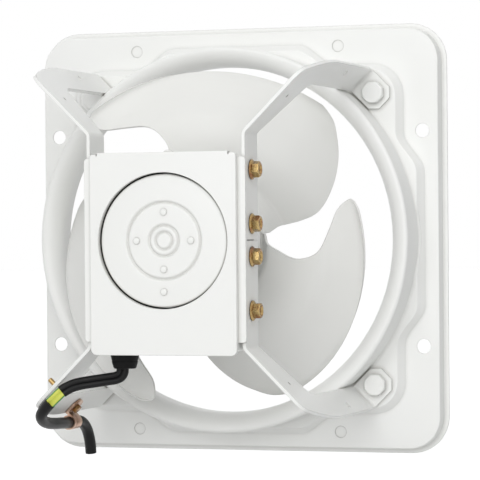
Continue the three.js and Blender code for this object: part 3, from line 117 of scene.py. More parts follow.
def wire(name: str, outline: Sequence[Point], place: Matrix, filled: bool) -> Piece:
    """A circle primitive drawn out to an outline.

    Args:
        name: The new piece's name.
        outline: Corners of a closed outline, in order.
        place: Takes the outline into the frame.
        filled: Whether the outline carries a face.

    Returns:
        The outline as a mesh object.
    """
    bpy.ops.object.select_all(action="DESELECT")
    fill = "NGON" if filled else "NOTHING"
    bpy.ops.mesh.primitive_circle_add(vertices=len(outline), radius=1, fill_type=fill)
    piece = bpy.context.object
    piece.name = piece.data.name = name
    move_vertices(piece, mapped(outline, place))
    return piece


def extruded(name: str, outline: Sequence[Point], shift: Point, place: Matrix = FAN) -> Piece:
    """An outline carried along a straight way, both in the place's own directions.

    Args:
        name: The new piece's name.
        outline: Corners as (x, y) or (x, y, height).
        shift: How far the face is extruded each way, in the outline's units.
        place: Takes the outline's directions into the frame.

    Returns:
        A closed solid.
    """
    piece = wire(name, outline, place, filled=True)
    with editing(piece):
        bpy.ops.mesh.extrude_region_move(TRANSFORM_OT_translate={"value": place.to_3x3() @ Vector(shift)})
    return cleaned(piece)


def pushed(name: str, outline: Sequence[Point], depth: float, place: Matrix = FAN) -> Piece:
    """An outline extruded along its place's third direction."""
    return extruded(name, outline, (0, 0, depth), place)


def spun(name: str, profile: Sequence[Point], steps: int = 96, place: Matrix = FAN) -> Piece:
    """A closed profile of (radius, height) pairs, spun about the plane's third direction.

    Args:
        name: The new piece's name.
        profile: Corners of the section; one run of it may lie on the axis.
        steps: Columns round the full turn.
        place: Takes (x, y, height) into the frame; the spin's axis runs through its origin.

    Returns:
        A closed solid.
    """
    piece = wire(name, [(radius, 0.0, height) for radius, height in profile], place, filled=False)
    on_axis = {i for i, (radius, _) in enumerate(profile) if radius < 1e-9}
    axis = (place.to_3x3() @ Vector((0, 0, 1))).normalized()
    with editing(piece, "EDGE"):
        bpy.ops.mesh.select_all(action="DESELECT")
        bpy.ops.object.mode_set(mode="OBJECT")
        for edge in piece.data.edges:
            edge.select = set(edge.vertices) <= on_axis
        bpy.ops.object.mode_set(mode="EDIT")
        bpy.ops.mesh.delete(type="EDGE")
        bpy.ops.mesh.select_all(action="SELECT")
        bpy.ops.mesh.spin(steps=steps, angle=2 * math.pi, center=place.translation, axis=axis)
    return cleaned(piece)


def sheet(name: str, rows: np.ndarray, place: Matrix = FAN) -> Piece:
    """A grid primitive whose rows follow a formula; rows or columns that meet are merged.

    Args:
        name: The new piece's name.
        rows: Points in an array of rows, columns and coordinates.
        place: Takes the points into the frame.

    Returns:
        The sheet, without thickness.
    """
    count, columns = rows.shape[:2]
    bpy.ops.object.select_all(action="DESELECT")
    bpy.ops.mesh.primitive_grid_add(x_subdivisions=columns - 1, y_subdivisions=count - 1, calc_uvs=True)
    piece = bpy.context.object
    piece.name = piece.data.name = name
    matrix = np.array(place)
    move_vertices(piece, rows.reshape(-1, 3) @ matrix[:3, :3].T + matrix[:3, 3])
    return piece


def with_modifier(piece: Piece, kind: str, **settings: object) -> Piece:
    """Adds a modifier with these settings and applies it."""
    select_only(piece)
    modifier = piece.modifiers.new(kind.lower(), kind)
    for key, value in settings.items():
        setattr(modifier, key, value)
    bpy.ops.object.modifier_apply(modifier=modifier.name)
    return piece


def carved(piece: Piece, cutters: Iterable[Piece], way: str = "DIFFERENCE") -> Piece:
    """Cuts, joins or trims a piece with others, which are used up."""
    for cutter in cutters:
        with_modifier(piece, "BOOLEAN", operation=way, object=cutter, solver="EXACT")
        bpy.data.objects.remove(cutter)
    return piece


def softened(piece: Piece, width: float, segments: int = 2, angle: float = 32) -> Piece:
    """Rounds every edge sharper than an angle, and shades the rest smooth."""
    with_modifier(piece, "BEVEL", width=width * MM, segments=segments, limit_method="ANGLE",
                  angle_limit=math.radians(angle), harden_normals=False, miter_outer="MITER_ARC")
    return weighted(closed(piece), angle)


def weighted(piece: Piece, angle: float = 32) -> Piece:
    """Shades a piece smooth, its normals led by the large faces, in place of any it had."""
    select_only(piece)
    bpy.ops.mesh.customdata_custom_splitnormals_clear()
    smoothed(piece, angle)
    return with_modifier(piece, "WEIGHTED_NORMAL", mode="FACE_AREA_WITH_ANGLE", weight=80, keep_sharp=True)


def smoothed(piece: Piece, angle: float = 32) -> Piece:
    """Shades a piece smooth, except across edges sharper than an angle."""
    select_only(piece)
    bpy.ops.object.shade_smooth_by_angle(angle=math.radians(angle))
    return piece


def copied(piece: Piece, name: str, change: Matrix) -> Piece:
    """A copy with its own mesh, moved, turned or mirrored in the frame."""
    copy = piece.copy()
    copy.data = piece.data.copy()
    copy.name = copy.data.name = name
    bpy.context.scene.collection.objects.link(copy)
    copy.data.transform(change)
    if change.determinant() < 0:
        copy.data.flip_normals()
        weighted(copy)
    return copy


def joined(*pieces: Piece) -> Piece:
    """Several shells made one piece, under the first one's name."""
    select_only(*pieces)
    bpy.ops.object.join()
    return pieces[0]


def arc(centre: Point, radius: float | Point, start: float, end: float, steps: int) -> list[Point]:
    """Points of a circle's or ellipse's arc, in degrees, both ends included."""
    across, along = radius if isinstance(radius, tuple) else (radius, radius)
    turns = np.radians(np.linspace(start, end, steps + 1))
    return [(centre[0] + across * math.cos(t), centre[1] + along * math.sin(t)) for t in turns]


def rounded_rectangle(half: Point, radius: float, middle: Point = (0, 0), steps: int = 8) -> list[Point]:
    """Corners of a rectangle with rounded corners, counter-clockwise."""
    outline = []
    for quarter, (sx, sy) in enumerate(((1, 1), (-1, 1), (-1, -1), (1, -1))):
        centre = (middle[0] + sx * (half[0] - radius), middle[1] + sy * (half[1] - radius))
        outline += arc(centre, radius, 90 * quarter, 90 * quarter + 90, steps)
    return outline


def regular(sides: int, across_flats: float, turn: float = 0) -> list[Point]:
    """Corners of a regular polygon, given the distance between its flats."""
    corner = across_flats / 2 / math.cos(math.pi / sides)
    return [(corner * math.cos(a), corner * math.sin(a)) for a in
            (math.radians(turn) + 2 * math.pi * i / sides for i in range(sides))]


def disc(radius: float, x: float, y: float, steps: int = 48) -> list[Point]:
    """Corners of a circle about a point, without a doubled one."""
    return arc((x, y), radius, 0, 360, steps)[:-1]


def standing(place: Matrix, x: float, y: float, w: float, axis: str = "w") -> Matrix:
    """A place whose origin is at (x, y, w) and whose third direction is w, -w, +x, -x, +y or -y."""
    turns = {"w": Matrix.Identity(4), "+x": Matrix.Rotation(math.pi / 2, 4, "Y"),
             "-x": Matrix.Rotation(-math.pi / 2, 4, "Y"), "-y": Matrix.Rotation(math.pi / 2, 4, "X"),
             "+y": Matrix.Rotation(-math.pi / 2, 4, "X"), "-w": Matrix.Rotation(math.pi, 4, "X")}
    return place @ Matrix.Translation((x, y, w)) @ turns[axis]


def peg(radius: float, length: float, place: Matrix, sides: int = 24) -> Piece:
    """A round pin that stands at a place, to cut a hole with."""
    return pushed("peg", disc(radius, 0, 0, sides), length, place)


def drilled(piece: Piece, radius: float, place: Matrix, sides: int = 24) -> Piece:
    """Cuts a round hole from 2 mm behind a place to 10 mm before it."""
    return carved(piece, [peg(radius, 12, standing(place, 0, 0, -2), sides)])


def turned(place: Matrix, degrees: float) -> Matrix:
    """A place turned about its third direction."""
    return place @ Matrix.Rotation(math.radians(degrees), 4, "Z")


def thread(crest: float, root: float, start: float, pitch: float, points: int) -> list[Point]:
    """A thread's section for a spin: roots and crests in turn, from a height upwards."""
    return [(crest if i % 2 else root, start + i * pitch / 2) for i in range(points)]


# ---- Finishes -------------------------------------------------------------------------------------


@dataclass
class Graph:
    """A node tree that takes a node, its settings and what goes into it together."""

    tree: Tree

    def feed(self, node: bpy.types.Node, inputs: dict[str | int, object]) -> None:
        """Links each given socket to a node's input, and sets each given value."""
        for key, value in inputs.items():
            if isinstance(value, Socket):
                self.tree.links.new(value, node.inputs[key])
            else:
                node.inputs[key].default_value = value

    def add(self, kind: str, inputs: dict[str | int, object], **settings: object) -> bpy.types.NodeOutputs:
        """Adds a shader node.

        Args:
            kind: The node's type, without the words that all of them share.
            inputs: A socket or a value for each input, by its name or number.
            **settings: The node's own settings, made first.

        Returns:
            The node's outputs.
        """
        node = self.tree.nodes.new("ShaderNode" + kind)
        for key, value in settings.items():
            setattr(node, key, value)
        self.feed(node, inputs)
        return node.outputs

    def mixed(self, share: Socket, low: Point, high: Socket) -> Socket:
        """A plain colour where the share is 0, and the other where it is 1."""
        return self.add("Mix", {"A": (*low, 1), "Factor": share, "B": high}, data_type="RGBA")["Result"]

    def ramp(self, value: Socket, stops: Sequence[tuple[float, Point]]) -> Socket:
        """A value turned into a colour through stops of (place, colour)."""
        node = self.tree.nodes.new("ShaderNodeValToRGB")
        elements = node.color_ramp.elements
        while len(elements) < len(stops):
            elements.new(0.5)
        for element, (place, colour) in zip(elements, stops):
            element.position = place
            element.color = (*colour, 1.0)
        self.feed(node, {"Fac": value})
        return node.outputs["Color"]


@dataclass(frozen=True)
class Finish:
    """A surface: two close colours in a slow mottle, a fine grain, painted lines along edges, and painted
    shade where pieces meet.

    Scales are features per metre, depths and widths are millimetres, and `stretch` draws the grain out.
    """

    slot: str
    colour: Point
    shade: Point
    roughness: Point = (0.28, 0.36)
    metallic: float = 0.0
    coat: float = 0.0
    mottle: float = 14.0
    grain: float = 900.0
    grain_depth: float = 0.01
    stretch: Point = (1.0, 1.0, 1.0)
    crevice: float = 0.0
    crevice_colour: Point = (0.42, 0.41, 0.38)
    specular: float = 0.5
    edge: float = 0.0
    edge_colour: Point = (0.42, 0.42, 0.4)

    def build(self) -> bpy.types.Material:
        """The finish as a node material, made once."""
        known = bpy.data.materials.get(self.slot + "_finish")
        if known:
            return known
        material = bpy.data.materials.new(self.slot + "_finish")
        material.use_nodes = True
        graph = Graph(material.node_tree)
        space = graph.add("TexCoord", {})["Object"]
        colour = self.colours(graph, space, self.noise(graph, space, self.mottle, 3))
        least, most = self.roughness
        spread = graph.add("MapRange", {"To Min": least, "To Max": most,
                                        "Value": self.noise(graph, space, self.mottle * 4, 4)})
        graph.feed(graph.tree.nodes["Principled BSDF"], {
            "Metallic": self.metallic, "Specular IOR Level": self.specular, "Coat Weight": self.coat,
            "Coat Roughness": 0.3, "Base Color": self.painted_crevice_shade(graph, self.painted_edge_line(graph, colour)),
            "Roughness": spread["Result"], "Normal": self.relief(graph, space)})
        return material

    def noise(self, graph: Graph, space: Socket, scale: float, detail: float) -> Socket:
        """A noise value over the piece, drawn out by the finish's stretch."""
        vector = graph.add("Mapping", {"Scale": self.stretch, "Vector": space})["Vector"]
        return graph.add("TexNoise", {"Scale": scale, "Detail": detail, "Vector": vector})["Fac"]

    def colours(self, graph: Graph, space: Socket, mottle: Socket) -> Socket:
        """The base colour before wear and dust."""
        return graph.ramp(mottle, [(0.35, self.shade), (0.65, self.colour)])

    def painted_edge_line(self, graph: Graph, colour: Socket) -> Socket:
        """The colour, with a fine painted line along each edge: painted shade where the edge colour is
        darker, and a painted highlight where it is lighter.
        """
        if not self.edge:
            return colour
        rounded = graph.add("Bevel", {"Radius": self.edge * MM}, samples=4)["Normal"]
        surface = graph.add("NewGeometry", {})["Normal"]
        likeness = graph.add("VectorMath", {0: rounded, 1: surface}, operation="DOT_PRODUCT")["Value"]
        flatness = graph.add("MapRange", {"From Min": 0.84, "From Max": 0.975, "Value": likeness})["Result"]
        return graph.mixed(flatness, self.edge_colour, colour)

    def painted_crevice_shade(self, graph: Graph, colour: Socket) -> Socket:
        """The colour, with painted shade in corners and gaps narrower than the crevice size."""
        if not self.crevice:
            return colour
        # Ambient occlusion picks the corners, so this darker colour is painted shade.
        nearness = graph.add("AmbientOcclusion", {"Distance": self.crevice * MM}, samples=8)["AO"]
        return graph.mixed(nearness, self.crevice_colour, colour)

    def relief(self, graph: Graph, space: Socket) -> Socket:
        """The fine grain as a bumped normal."""
        grain = self.noise(graph, space, self.grain, 2)
        depth = self.grain_depth * MM
        return graph.add("Bump", {"Strength": 0.35, "Distance": depth, "Height": grain})["Normal"]


@dataclass(frozen=True)
class PlatedFinish(Finish):
    """Passivated zinc, whose tint drifts in patches through further colours."""

    tints: Sequence[Point] = ()

    def colours(self, graph: Graph, space: Socket, mottle: Socket) -> Socket:
        """The plate's tints side by side, in patches."""
        row = [self.shade, *self.tints, self.colour]
        return graph.ramp(mottle, [(0.3 + 0.4 * i / (len(row) - 1), tint) for i, tint in enumerate(row)])


@dataclass(frozen=True)
class StripedFinish(Finish):
    """A core's insulation in two colours, in bands that run along the cord."""

    stripe: Point = (0.05, 0.3, 0.06)
    bands: int = 2

    def colours(self, graph: Graph, space: Socket, mottle: Socket) -> Socket:
        """Bands by the place round the cord, which its UV map holds as u: green stripes on the cores' outer
        sides, and yellow that darkens towards the crease between the two cores as painted shade.
        """
        across = graph.add("SeparateXYZ", {"Vector": graph.add("UVMap", {})["UV"]})["X"]
        wave = graph.add("Math", {0: across, 1: 0.5 / self.bands}, operation="PINGPONG")["Value"]
        level = graph.add("Math", {0: wave, 1: 2.0 * self.bands}, operation="MULTIPLY")["Value"]
        return graph.ramp(level, [(0.0, self.stripe), (0.3, self.stripe), (0.36, self.colour),
                                  (1.0, self.shade)])


@dataclass(frozen=True)
class LaminatedFinish(Finish):
    """Stacked electrical sheets, whose edges stand as fine ridges across the shaft's direction."""

    sheets_per_metre: float = 900.0

    def relief(self, graph: Graph, space: Socket) -> Socket:
        """Ridges along the shaft's direction as a bumped normal."""
        wave = graph.add("TexWave", {"Scale": self.sheets_per_metre / (2 * math.pi), "Vector": space},
                         bands_direction="Y")["Fac"]
        return graph.add("Bump", {"Distance": self.grain_depth * MM, "Height": wave})["Normal"]


class Finishes(Enum):
    """Every finish on the fan."""

    # Each crevice setting paints shade into corners and gaps in its crevice colour. Each edge setting paints
    # a line along edges in its edge colour: shade where that colour is darker, a highlight where it is
    # lighter.
    ENAMEL = Finish("white_paint", (0.87, 0.873, 0.855), (0.85, 0.853, 0.83), (0.36, 0.44), mottle=6,
                    grain=420, grain_depth=0.03, crevice=4, edge=0.7, edge_colour=(0.36, 0.36, 0.34))
    BLADE = Finish("blade_paint", (0.79, 0.79, 0.765), (0.765, 0.765, 0.74), (0.42, 0.5), mottle=8, grain=520,
                   grain_depth=0.03, crevice=4, edge=0.9, edge_colour=(0.3, 0.3, 0.28))
    YELLOW_ZINC = PlatedFinish("yellow_zinc", (0.5, 0.36, 0.16), (0.13, 0.065, 0.03), (0.2, 0.34), 1.0,
                               mottle=130, grain=1800, grain_depth=0.03, crevice=3,
                               crevice_colour=(0.06, 0.03, 0.012), edge=0.4, edge_colour=(0.6, 0.48, 0.26),
                               tints=((0.3, 0.15, 0.075), (0.4, 0.26, 0.11), (0.42, 0.3, 0.13)))
    COPPER_ZINC = PlatedFinish("copper_zinc", (0.62, 0.45, 0.35), (0.32, 0.18, 0.12), (0.26, 0.4), 1.0,
                               mottle=120, grain=1500, grain_depth=0.02, crevice=2,
                               crevice_colour=(0.08, 0.04, 0.025), edge=0.5, edge_colour=(0.7, 0.52, 0.42),
                               tints=((0.5, 0.3, 0.21), (0.6, 0.42, 0.32)))
    STEEL = Finish("bare_steel", (0.6, 0.6, 0.61), (0.48, 0.48, 0.49), (0.24, 0.36), 1.0, mottle=60,
                   grain=2400, grain_depth=0.02, stretch=(1, 4, 1), crevice=2,
                   crevice_colour=(0.15, 0.15, 0.15))
    LAMINATIONS = LaminatedFinish("laminations", (0.24, 0.25, 0.27), (0.18, 0.18, 0.2), (0.4, 0.55), 0.8,
                                  grain_depth=0.2)
    COPPER = Finish("copper_wire", (0.5, 0.2, 0.07), (0.36, 0.13, 0.045), (0.3, 0.42), 0.9, mottle=80,
                    grain=1400, grain_depth=0.12, stretch=(1, 0.2, 1))
    CAST = Finish("cast_aluminium", (0.5, 0.5, 0.51), (0.42, 0.42, 0.43), (0.42, 0.56), 0.9, mottle=60,
                  grain=1200, grain_depth=0.05)
    RUBBER = Finish("black_rubber", (0.004, 0.004, 0.0042), (0.0025, 0.0025, 0.0027), (0.45, 0.58), mottle=60,
                    grain=1600, grain_depth=0.03, specular=0.12)
    SHEATH = Finish("black_sheath", (0.0075, 0.0075, 0.0078), (0.005, 0.005, 0.0052), (0.34, 0.44), mottle=50,
                    grain=1100, grain_depth=0.03, specular=0.17)
    EARTH = StripedFinish("earth_core", (0.62, 0.64, 0.1), (0.55, 0.6, 0.08), (0.32, 0.42), mottle=50,
                          grain=1100, grain_depth=0.02, stripe=(0.06, 0.25, 0.05))
    GREY_PLASTIC = Finish("grey_plastic", (0.07, 0.073, 0.08), (0.058, 0.06, 0.066), (0.5, 0.6), mottle=60,
                          grain=1500, grain_depth=0.03)
    TERMINAL = Finish("terminal_plastic", (0.76, 0.72, 0.62), (0.7, 0.66, 0.56), (0.4, 0.5), mottle=60,
                      grain=1500, grain_depth=0.02)


def dress(piece: Piece, finish: Finishes, body: str, *nodes: str) -> Piece:
    """Gives a finished piece its material, body, slot and the CAD nodes that it stands for."""
    piece.data.materials.clear()
    piece.data.materials.append(finish.value.build())
    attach(piece, body)
    if nodes:
        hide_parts(*nodes)
    LOG.info("%s rides on %s and stands for %s", piece.name, body, ", ".join(nodes) or "nothing")
    return piece


# ---- Shared sizes ---------------------------------------------------------------------------------


@dataclass(frozen=True)
class FanSizes:
    """The sizes that more than one sub-assembly needs."""

    throat_radius: float = 160.75
    panel_sheet: float = 1.4
    step_height: float = 10.0
    arm_sheet: float = 3.2
    arm_front: float = 203.0
    arm_rear: float = 168.0
    arm_face: float = 73.1
    bend_height: float = 93.1
    leg_inner: float = 61.02
    leg_outer: float = 89.02
    foot_offset: float = 16.0
    bracket_half: float = 69.6
    plate_back: float = 203.3
    plate_front: float = 206.3
    motor_radius: float = 58.0
    bolt_rows: Point = (14.3, 61.3)
    bolt_out: float = 185.5
    nut_flats: float = 13.0
    nut_height: float = 6.5
    clamp_out: float = 101.5
    bolt_hole: float = 4.4
    nut_bore: float = 4.25
    seat_gap: float = 0.3
    gland_x: float = -45.3
    gland_out: float = 185.0
    box_bottom: float = -96.5

    @property
    def arm_place(self) -> Matrix:
        """The upper right arm's own frame: x along its plate, y through it, third along w."""
        return turned(standing(FAN, self.arm_face, self.bend_height, 0), 45)

    @property
    def foot_bolt(self) -> Point:
        """Where the upper right foot's bolt stands."""
        middle = (self.leg_inner + self.leg_outer) / 2
        return (self.arm_face + (middle + self.foot_offset) / math.sqrt(2),
                self.bend_height + (middle - self.foot_offset) / math.sqrt(2))


SIZES = FanSizes()


# ---- Supply cord, gland and clamp -----------------------------------------------------------------


@dataclass
class SupplyCord:
    """The lead from the gland round the lower left arm and through the clamp to its cut end.

    The route's points are (x, y, w). Sleeve and cores each hold half their width and a lobe's radius.
    """

    radius: float = 5.2
    start: Point = (-47.5, -112.8, 185)
    route: Sequence[Point] = (
        (-47.6, -115.4, 185), (-49.6, -118.9, 185.2), (-53.8, -120.9, 185.8), (-60.2, -122, 186.9),
        (-68.1, -123.2, 188.4), (-75.9, -124.4, 190.4), (-82.5, -125.5, 193), (-88.2, -126.9, 196.5),
        (-93.2, -129.2, 200), (-98, -132.5, 203), (-103.6, -137.9, 204.6), (-109.7, -143.5, 204.4),
        (-115.4, -148.9, 202), (-120.2, -154.1, 197), (-123, -159.1, 187), (-124.4, -162.8, 171),
        (-124.9, -164.6, 151.5), (-126.2, -165.6, 133), (-129, -166.8, 116), (-129, -166.8, 108.5),
        (-129, -166.8, 101.5), (-129, -166.8, 94.5), (-129, -166.8, 87), (-129, -168, 79),
        (-129, -171.5, 70.5), (-129, -177, 63.5), (-129, -184, 58.5), (-129, -191.5, 55.5),
        (-129, -199.3, 54))
    sleeve_end: float = 61.0
    core_end: float = 75.0
    sleeve: Point = (5.6, 3.15)
    cores: Point = (4.9, 2.6)
    web: float = 0.62
    cut_ring: float = 0.86
    ring_spacing: float = 1.1
    sides: int = 40

    def centreline(self) -> np.ndarray:
        """The smooth line through the route's points, in even steps."""
        points = np.array([self.start, *self.route], float)
        ends = np.vstack([2 * points[0] - points[1], points, 2 * points[-1] - points[-2]])
        knots = np.concatenate([[0], np.cumsum(np.linalg.norm(np.diff(ends, axis=0), axis=1) ** 0.5)])
        line = [points[0]]
        for i in range(1, len(ends) - 2):
            t0, t1, t2, t3 = knots[i - 1:i + 3]
            for t in np.linspace(t1, t2, 13)[1:]:
                a = [ends[i - 1 + k] + (ends[i + k] - ends[i - 1 + k]) * (t - s) / (e - s)
                     for k, (s, e) in enumerate(((t0, t1), (t1, t2), (t2, t3)))]
                b = [a[0] + (a[1] - a[0]) * (t - t0) / (t2 - t0), a[1] + (a[2] - a[1]) * (t - t1) / (t3 - t1)]
                line.append(b[0] + (b[1] - b[0]) * (t - t1) / (t2 - t1))
        line = np.array(line)
        far = np.concatenate([[0], np.cumsum(np.linalg.norm(np.diff(line, axis=0), axis=1))])
        even = np.linspace(0, far[-1], int(far[-1] / self.ring_spacing) + 1)
        return np.column_stack([np.interp(even, far, line[:, k]) for k in range(3)])

    def reach(self, travelled: float, turn: np.ndarray) -> np.ndarray:
        """How far the surface lies from the centreline, by the angle round it."""
        if travelled < self.sleeve_end:
            return self.two_lobes(turn, *self.sleeve)
        if travelled < self.core_end:
            return self.two_lobes(turn, *self.cores)
        return np.full_like(turn, self.radius)

    def two_lobes(self, turn: np.ndarray, half: float, lobe: float) -> np.ndarray:
        """Two round cores side by side, this wide from the middle, joined by a web."""
        offset = half - lobe
        inner = (offset * np.cos(turn)) ** 2 - offset ** 2 + lobe ** 2
        round_part = offset * np.abs(np.cos(turn)) + np.sqrt(np.maximum(inner, 0))
        web = self.web * lobe / np.maximum(np.abs(np.sin(turn)), 1e-6)
        return np.where(inner > 0, np.maximum(round_part, np.minimum(web, offset)), web)

    def rings(self, line: np.ndarray, travelled: np.ndarray) -> tuple[list[np.ndarray], list[float]]:
        """The surface as rings along the line, doubled where the section changes.

        Args:
            line: The centreline's points.
            travelled: How far along the lead each of them lies.

        Returns:
            The rings, and how far along the lead each of them lies.
        """
        ways = np.gradient(line, axis=0)
        ways /= np.linalg.norm(ways, axis=1)[:, None]
        side = np.cross(ways[0], (0, 0, 1.0))
        turn = np.linspace(0, 2 * math.pi, self.sides + 1)
        rings, distances = [], []
        for i, (centre, way, far) in enumerate(zip(line, ways, travelled)):
            side = side - way * side.dot(way)
            side /= np.linalg.norm(side)
            circle = np.cos(turn)[:, None] * side + np.sin(turn)[:, None] * np.cross(way, side)
            sections = [self.reach(far, turn)]
            for end in (self.sleeve_end, self.core_end):
                if i and travelled[i - 1] < end <= far:
                    sections.insert(0, self.reach(end - 0.01, turn))
            rings += [centre + section[:, None] * circle for section in sections]
            distances += [far] * len(sections)
        return rings, distances

    def build(self, pieces: Sequence[Piece]) -> Piece:
        """Args:
            pieces: Not used; nothing rides on this lead, so this is empty.

        Returns:
            The lead.
        """
        line = self.centreline()
        travelled = np.concatenate([[0], np.cumsum(np.linalg.norm(np.diff(line, axis=0), axis=1))])
        rings, distances = self.rings(line, travelled)
        start, end = (np.broadcast_to(point, rings[0].shape) for point in (line[0], line[-1]))
        rows = [start, *rings, line[-1] + (rings[-1] - line[-1]) * self.cut_ring, end]
        tube = sheet("supply_lead", np.array(rows))
        dress(tube, Finishes.SHEATH, STATIC, "supply_cord")
        tube.data.materials.append(Finishes.EARTH.value.build())
        starts = np.interp(np.arange(len(rows) - 1), np.arange(1, len(distances) + 1), distances)
        for face in tube.data.polygons:
            row = face.index // self.sides
            face.material_index = int(self.sleeve_end <= starts[row] < self.core_end)
        cleaned(tube, 2e-5)
        smoothed(tube, 50)
        return tube


@dataclass
class CordFittings:
    """The gland under the wiring box, and the clamp with its screw on the lower left arm.

    Bends are the radii between the strap's ends and its loop, the lower end's first.
    """

    top_radius: float = 13.6
    end_radius: float = 10.2
    length: float = 16.0
    strap: float = 1.2
    strap_width: float = 18.0
    loop_radius: float = 5.5
    along: float = 91.63
    off: float = 12.6
    screw_inset: float = 9.5
    screw_length: float = 36.5
    screw_radius: float = 2.5
    head_flats: float = 8.0
    head_height: float = 3.6
    thread_pitch: float = 0.8
    screw_play: float = 0.25
    nut_height: float = 4.0
    bends: Point = (1.2, 1.5)

    @property
    def hole(self) -> float:
        """How far along the arm's plate the screw stands."""
        return SIZES.leg_outer - self.screw_inset

    @property
    def arm(self) -> Matrix:
        """The lower left arm's own frame."""
        return turned(FAN, 180) @ FAN.inverted() @ SIZES.arm_place

    def gland(self) -> None:
        """The rubber gland: collar, rounded shoulder, waist and tapered sleeve."""
        top, end = self.top_radius, self.end_radius
        low = -self.length
        profile = [(0, low), (6.2, low), *arc((end - 1.4, low + 1.4), 1.4, -90, -12, 5),
                   (end + 1.5, low + 6.2), (end + 1.2, low + 6.6), (end + 2.9, low + 13.2),
                   *arc((top - 0.9, -1.6), 0.9, -20, 90, 4),
                   (11, -0.3), (11, 1.35), (14.6, 1.35), (14.6, 4.35), (0, 4.35)]
        place = standing(FAN, SIZES.gland_x, SIZES.box_bottom, SIZES.gland_out, "+y")
        dress(smoothed(spun("lead_gland", profile, 64, place), 40), Finishes.RUBBER, STATIC, "cable_gland")

    def clamp(self) -> None:
        """The strap bent round the lead, both its ends flat on the arm under the screw."""
        width, outer = self.strap_width, self.loop_radius + self.strap
        tab_low = SIZES.arm_sheet + SIZES.seat_gap
        tab_high = tab_low + 2 * self.strap
        end, left = self.hole - width / 2, self.along - outer
        neck = left + 2 * self.strap
        rise = self.off - math.sqrt(outer ** 2 - (outer - 2 * self.strap) ** 2)
        start = math.degrees(math.atan2(rise - self.off, neck - self.along))
        lower, upper = self.bends
        outline = [(end, tab_low), (neck - lower, tab_low),
                   *arc((neck - lower, tab_low + lower), lower, -90, 0, 4), (neck, rise),
                   *arc((self.along, self.off), outer, start, 180, 40)[1:], (left, tab_high + 2),
                   *arc((left - upper, tab_high + upper), upper, 0, -90, 4), (end, tab_high)]
        place = standing(self.arm, 0, 0, SIZES.clamp_out - width / 2)
        strap = pushed("lead_clamp", outline, width, place)
        bore = peg(self.loop_radius, width + 2, standing(place, self.along, self.off, -1), 64)
        corners = [(self.hole - width, -width), (self.hole, -width),
                   *arc((self.hole, 0), width / 2, 270, 90, 16), (self.hole, width),
                   (self.hole - width, width)]
        across = standing(self.arm, 0, -2, SIZES.clamp_out, "-y") @ Matrix.Scale(-1, 4, (0, 0, 1))
        through = standing(self.arm, self.hole, 0, SIZES.clamp_out, "+y")
        screw_hole = peg(self.screw_radius + self.screw_play, 20, through)
        carved(strap, [bore, pushed("trim", corners, 12, across), screw_hole])
        dress(softened(strap, 0.25), Finishes.COPPER_ZINC, STATIC, "cord_clamp")

    def screw(self) -> None:
        """A machine screw with a chamfered hexagonal head, and its nut behind the arm."""
        seat = SIZES.arm_sheet + SIZES.seat_gap + 2 * self.strap
        place = standing(self.arm, self.hole, seat, SIZES.clamp_out, "+y")
        length, radius, height = self.screw_length, self.screw_radius, self.head_height
        winding = thread(radius - 0.02, radius - 0.45, 0.5 - length, self.thread_pitch, 84)
        shank = spun("clamp_bolt", [(0, -length), (radius - 0.6, -length), *winding, (radius, -1),
                                    (radius, 0.5), (0, 0.5)], 32, place)
        head = pushed("head", regular(6, self.head_flats, 15), height, place)
        cone = spun("cone", [(0, -1), (6, -1), (6, height - 1.4), (self.head_flats * 0.46, height),
                             (0, height)], 48, place)
        softened(carved(head, [cone], "INTERSECT"), 0.2, 2, 25)
        dress(smoothed(joined(shank, head), 28), Finishes.YELLOW_ZINC, STATIC, "clamp_screw")
        back = standing(self.arm, self.hole, -SIZES.seat_gap, SIZES.clamp_out, "-y")
        nut = pushed("clamp_hex_nut", regular(6, self.head_flats), self.nut_height, back)
        drilled(nut, radius + self.screw_play, back)
        dress(softened(nut, 0.3), Finishes.YELLOW_ZINC, STATIC, "clamp_nut")

    def build(self) -> None:
        """Makes the gland, the clamp, its screw and its nut."""
        self.gland()
        self.clamp()
        self.screw()


# ---- Orifice panel --------------------------------------------------------------------------------


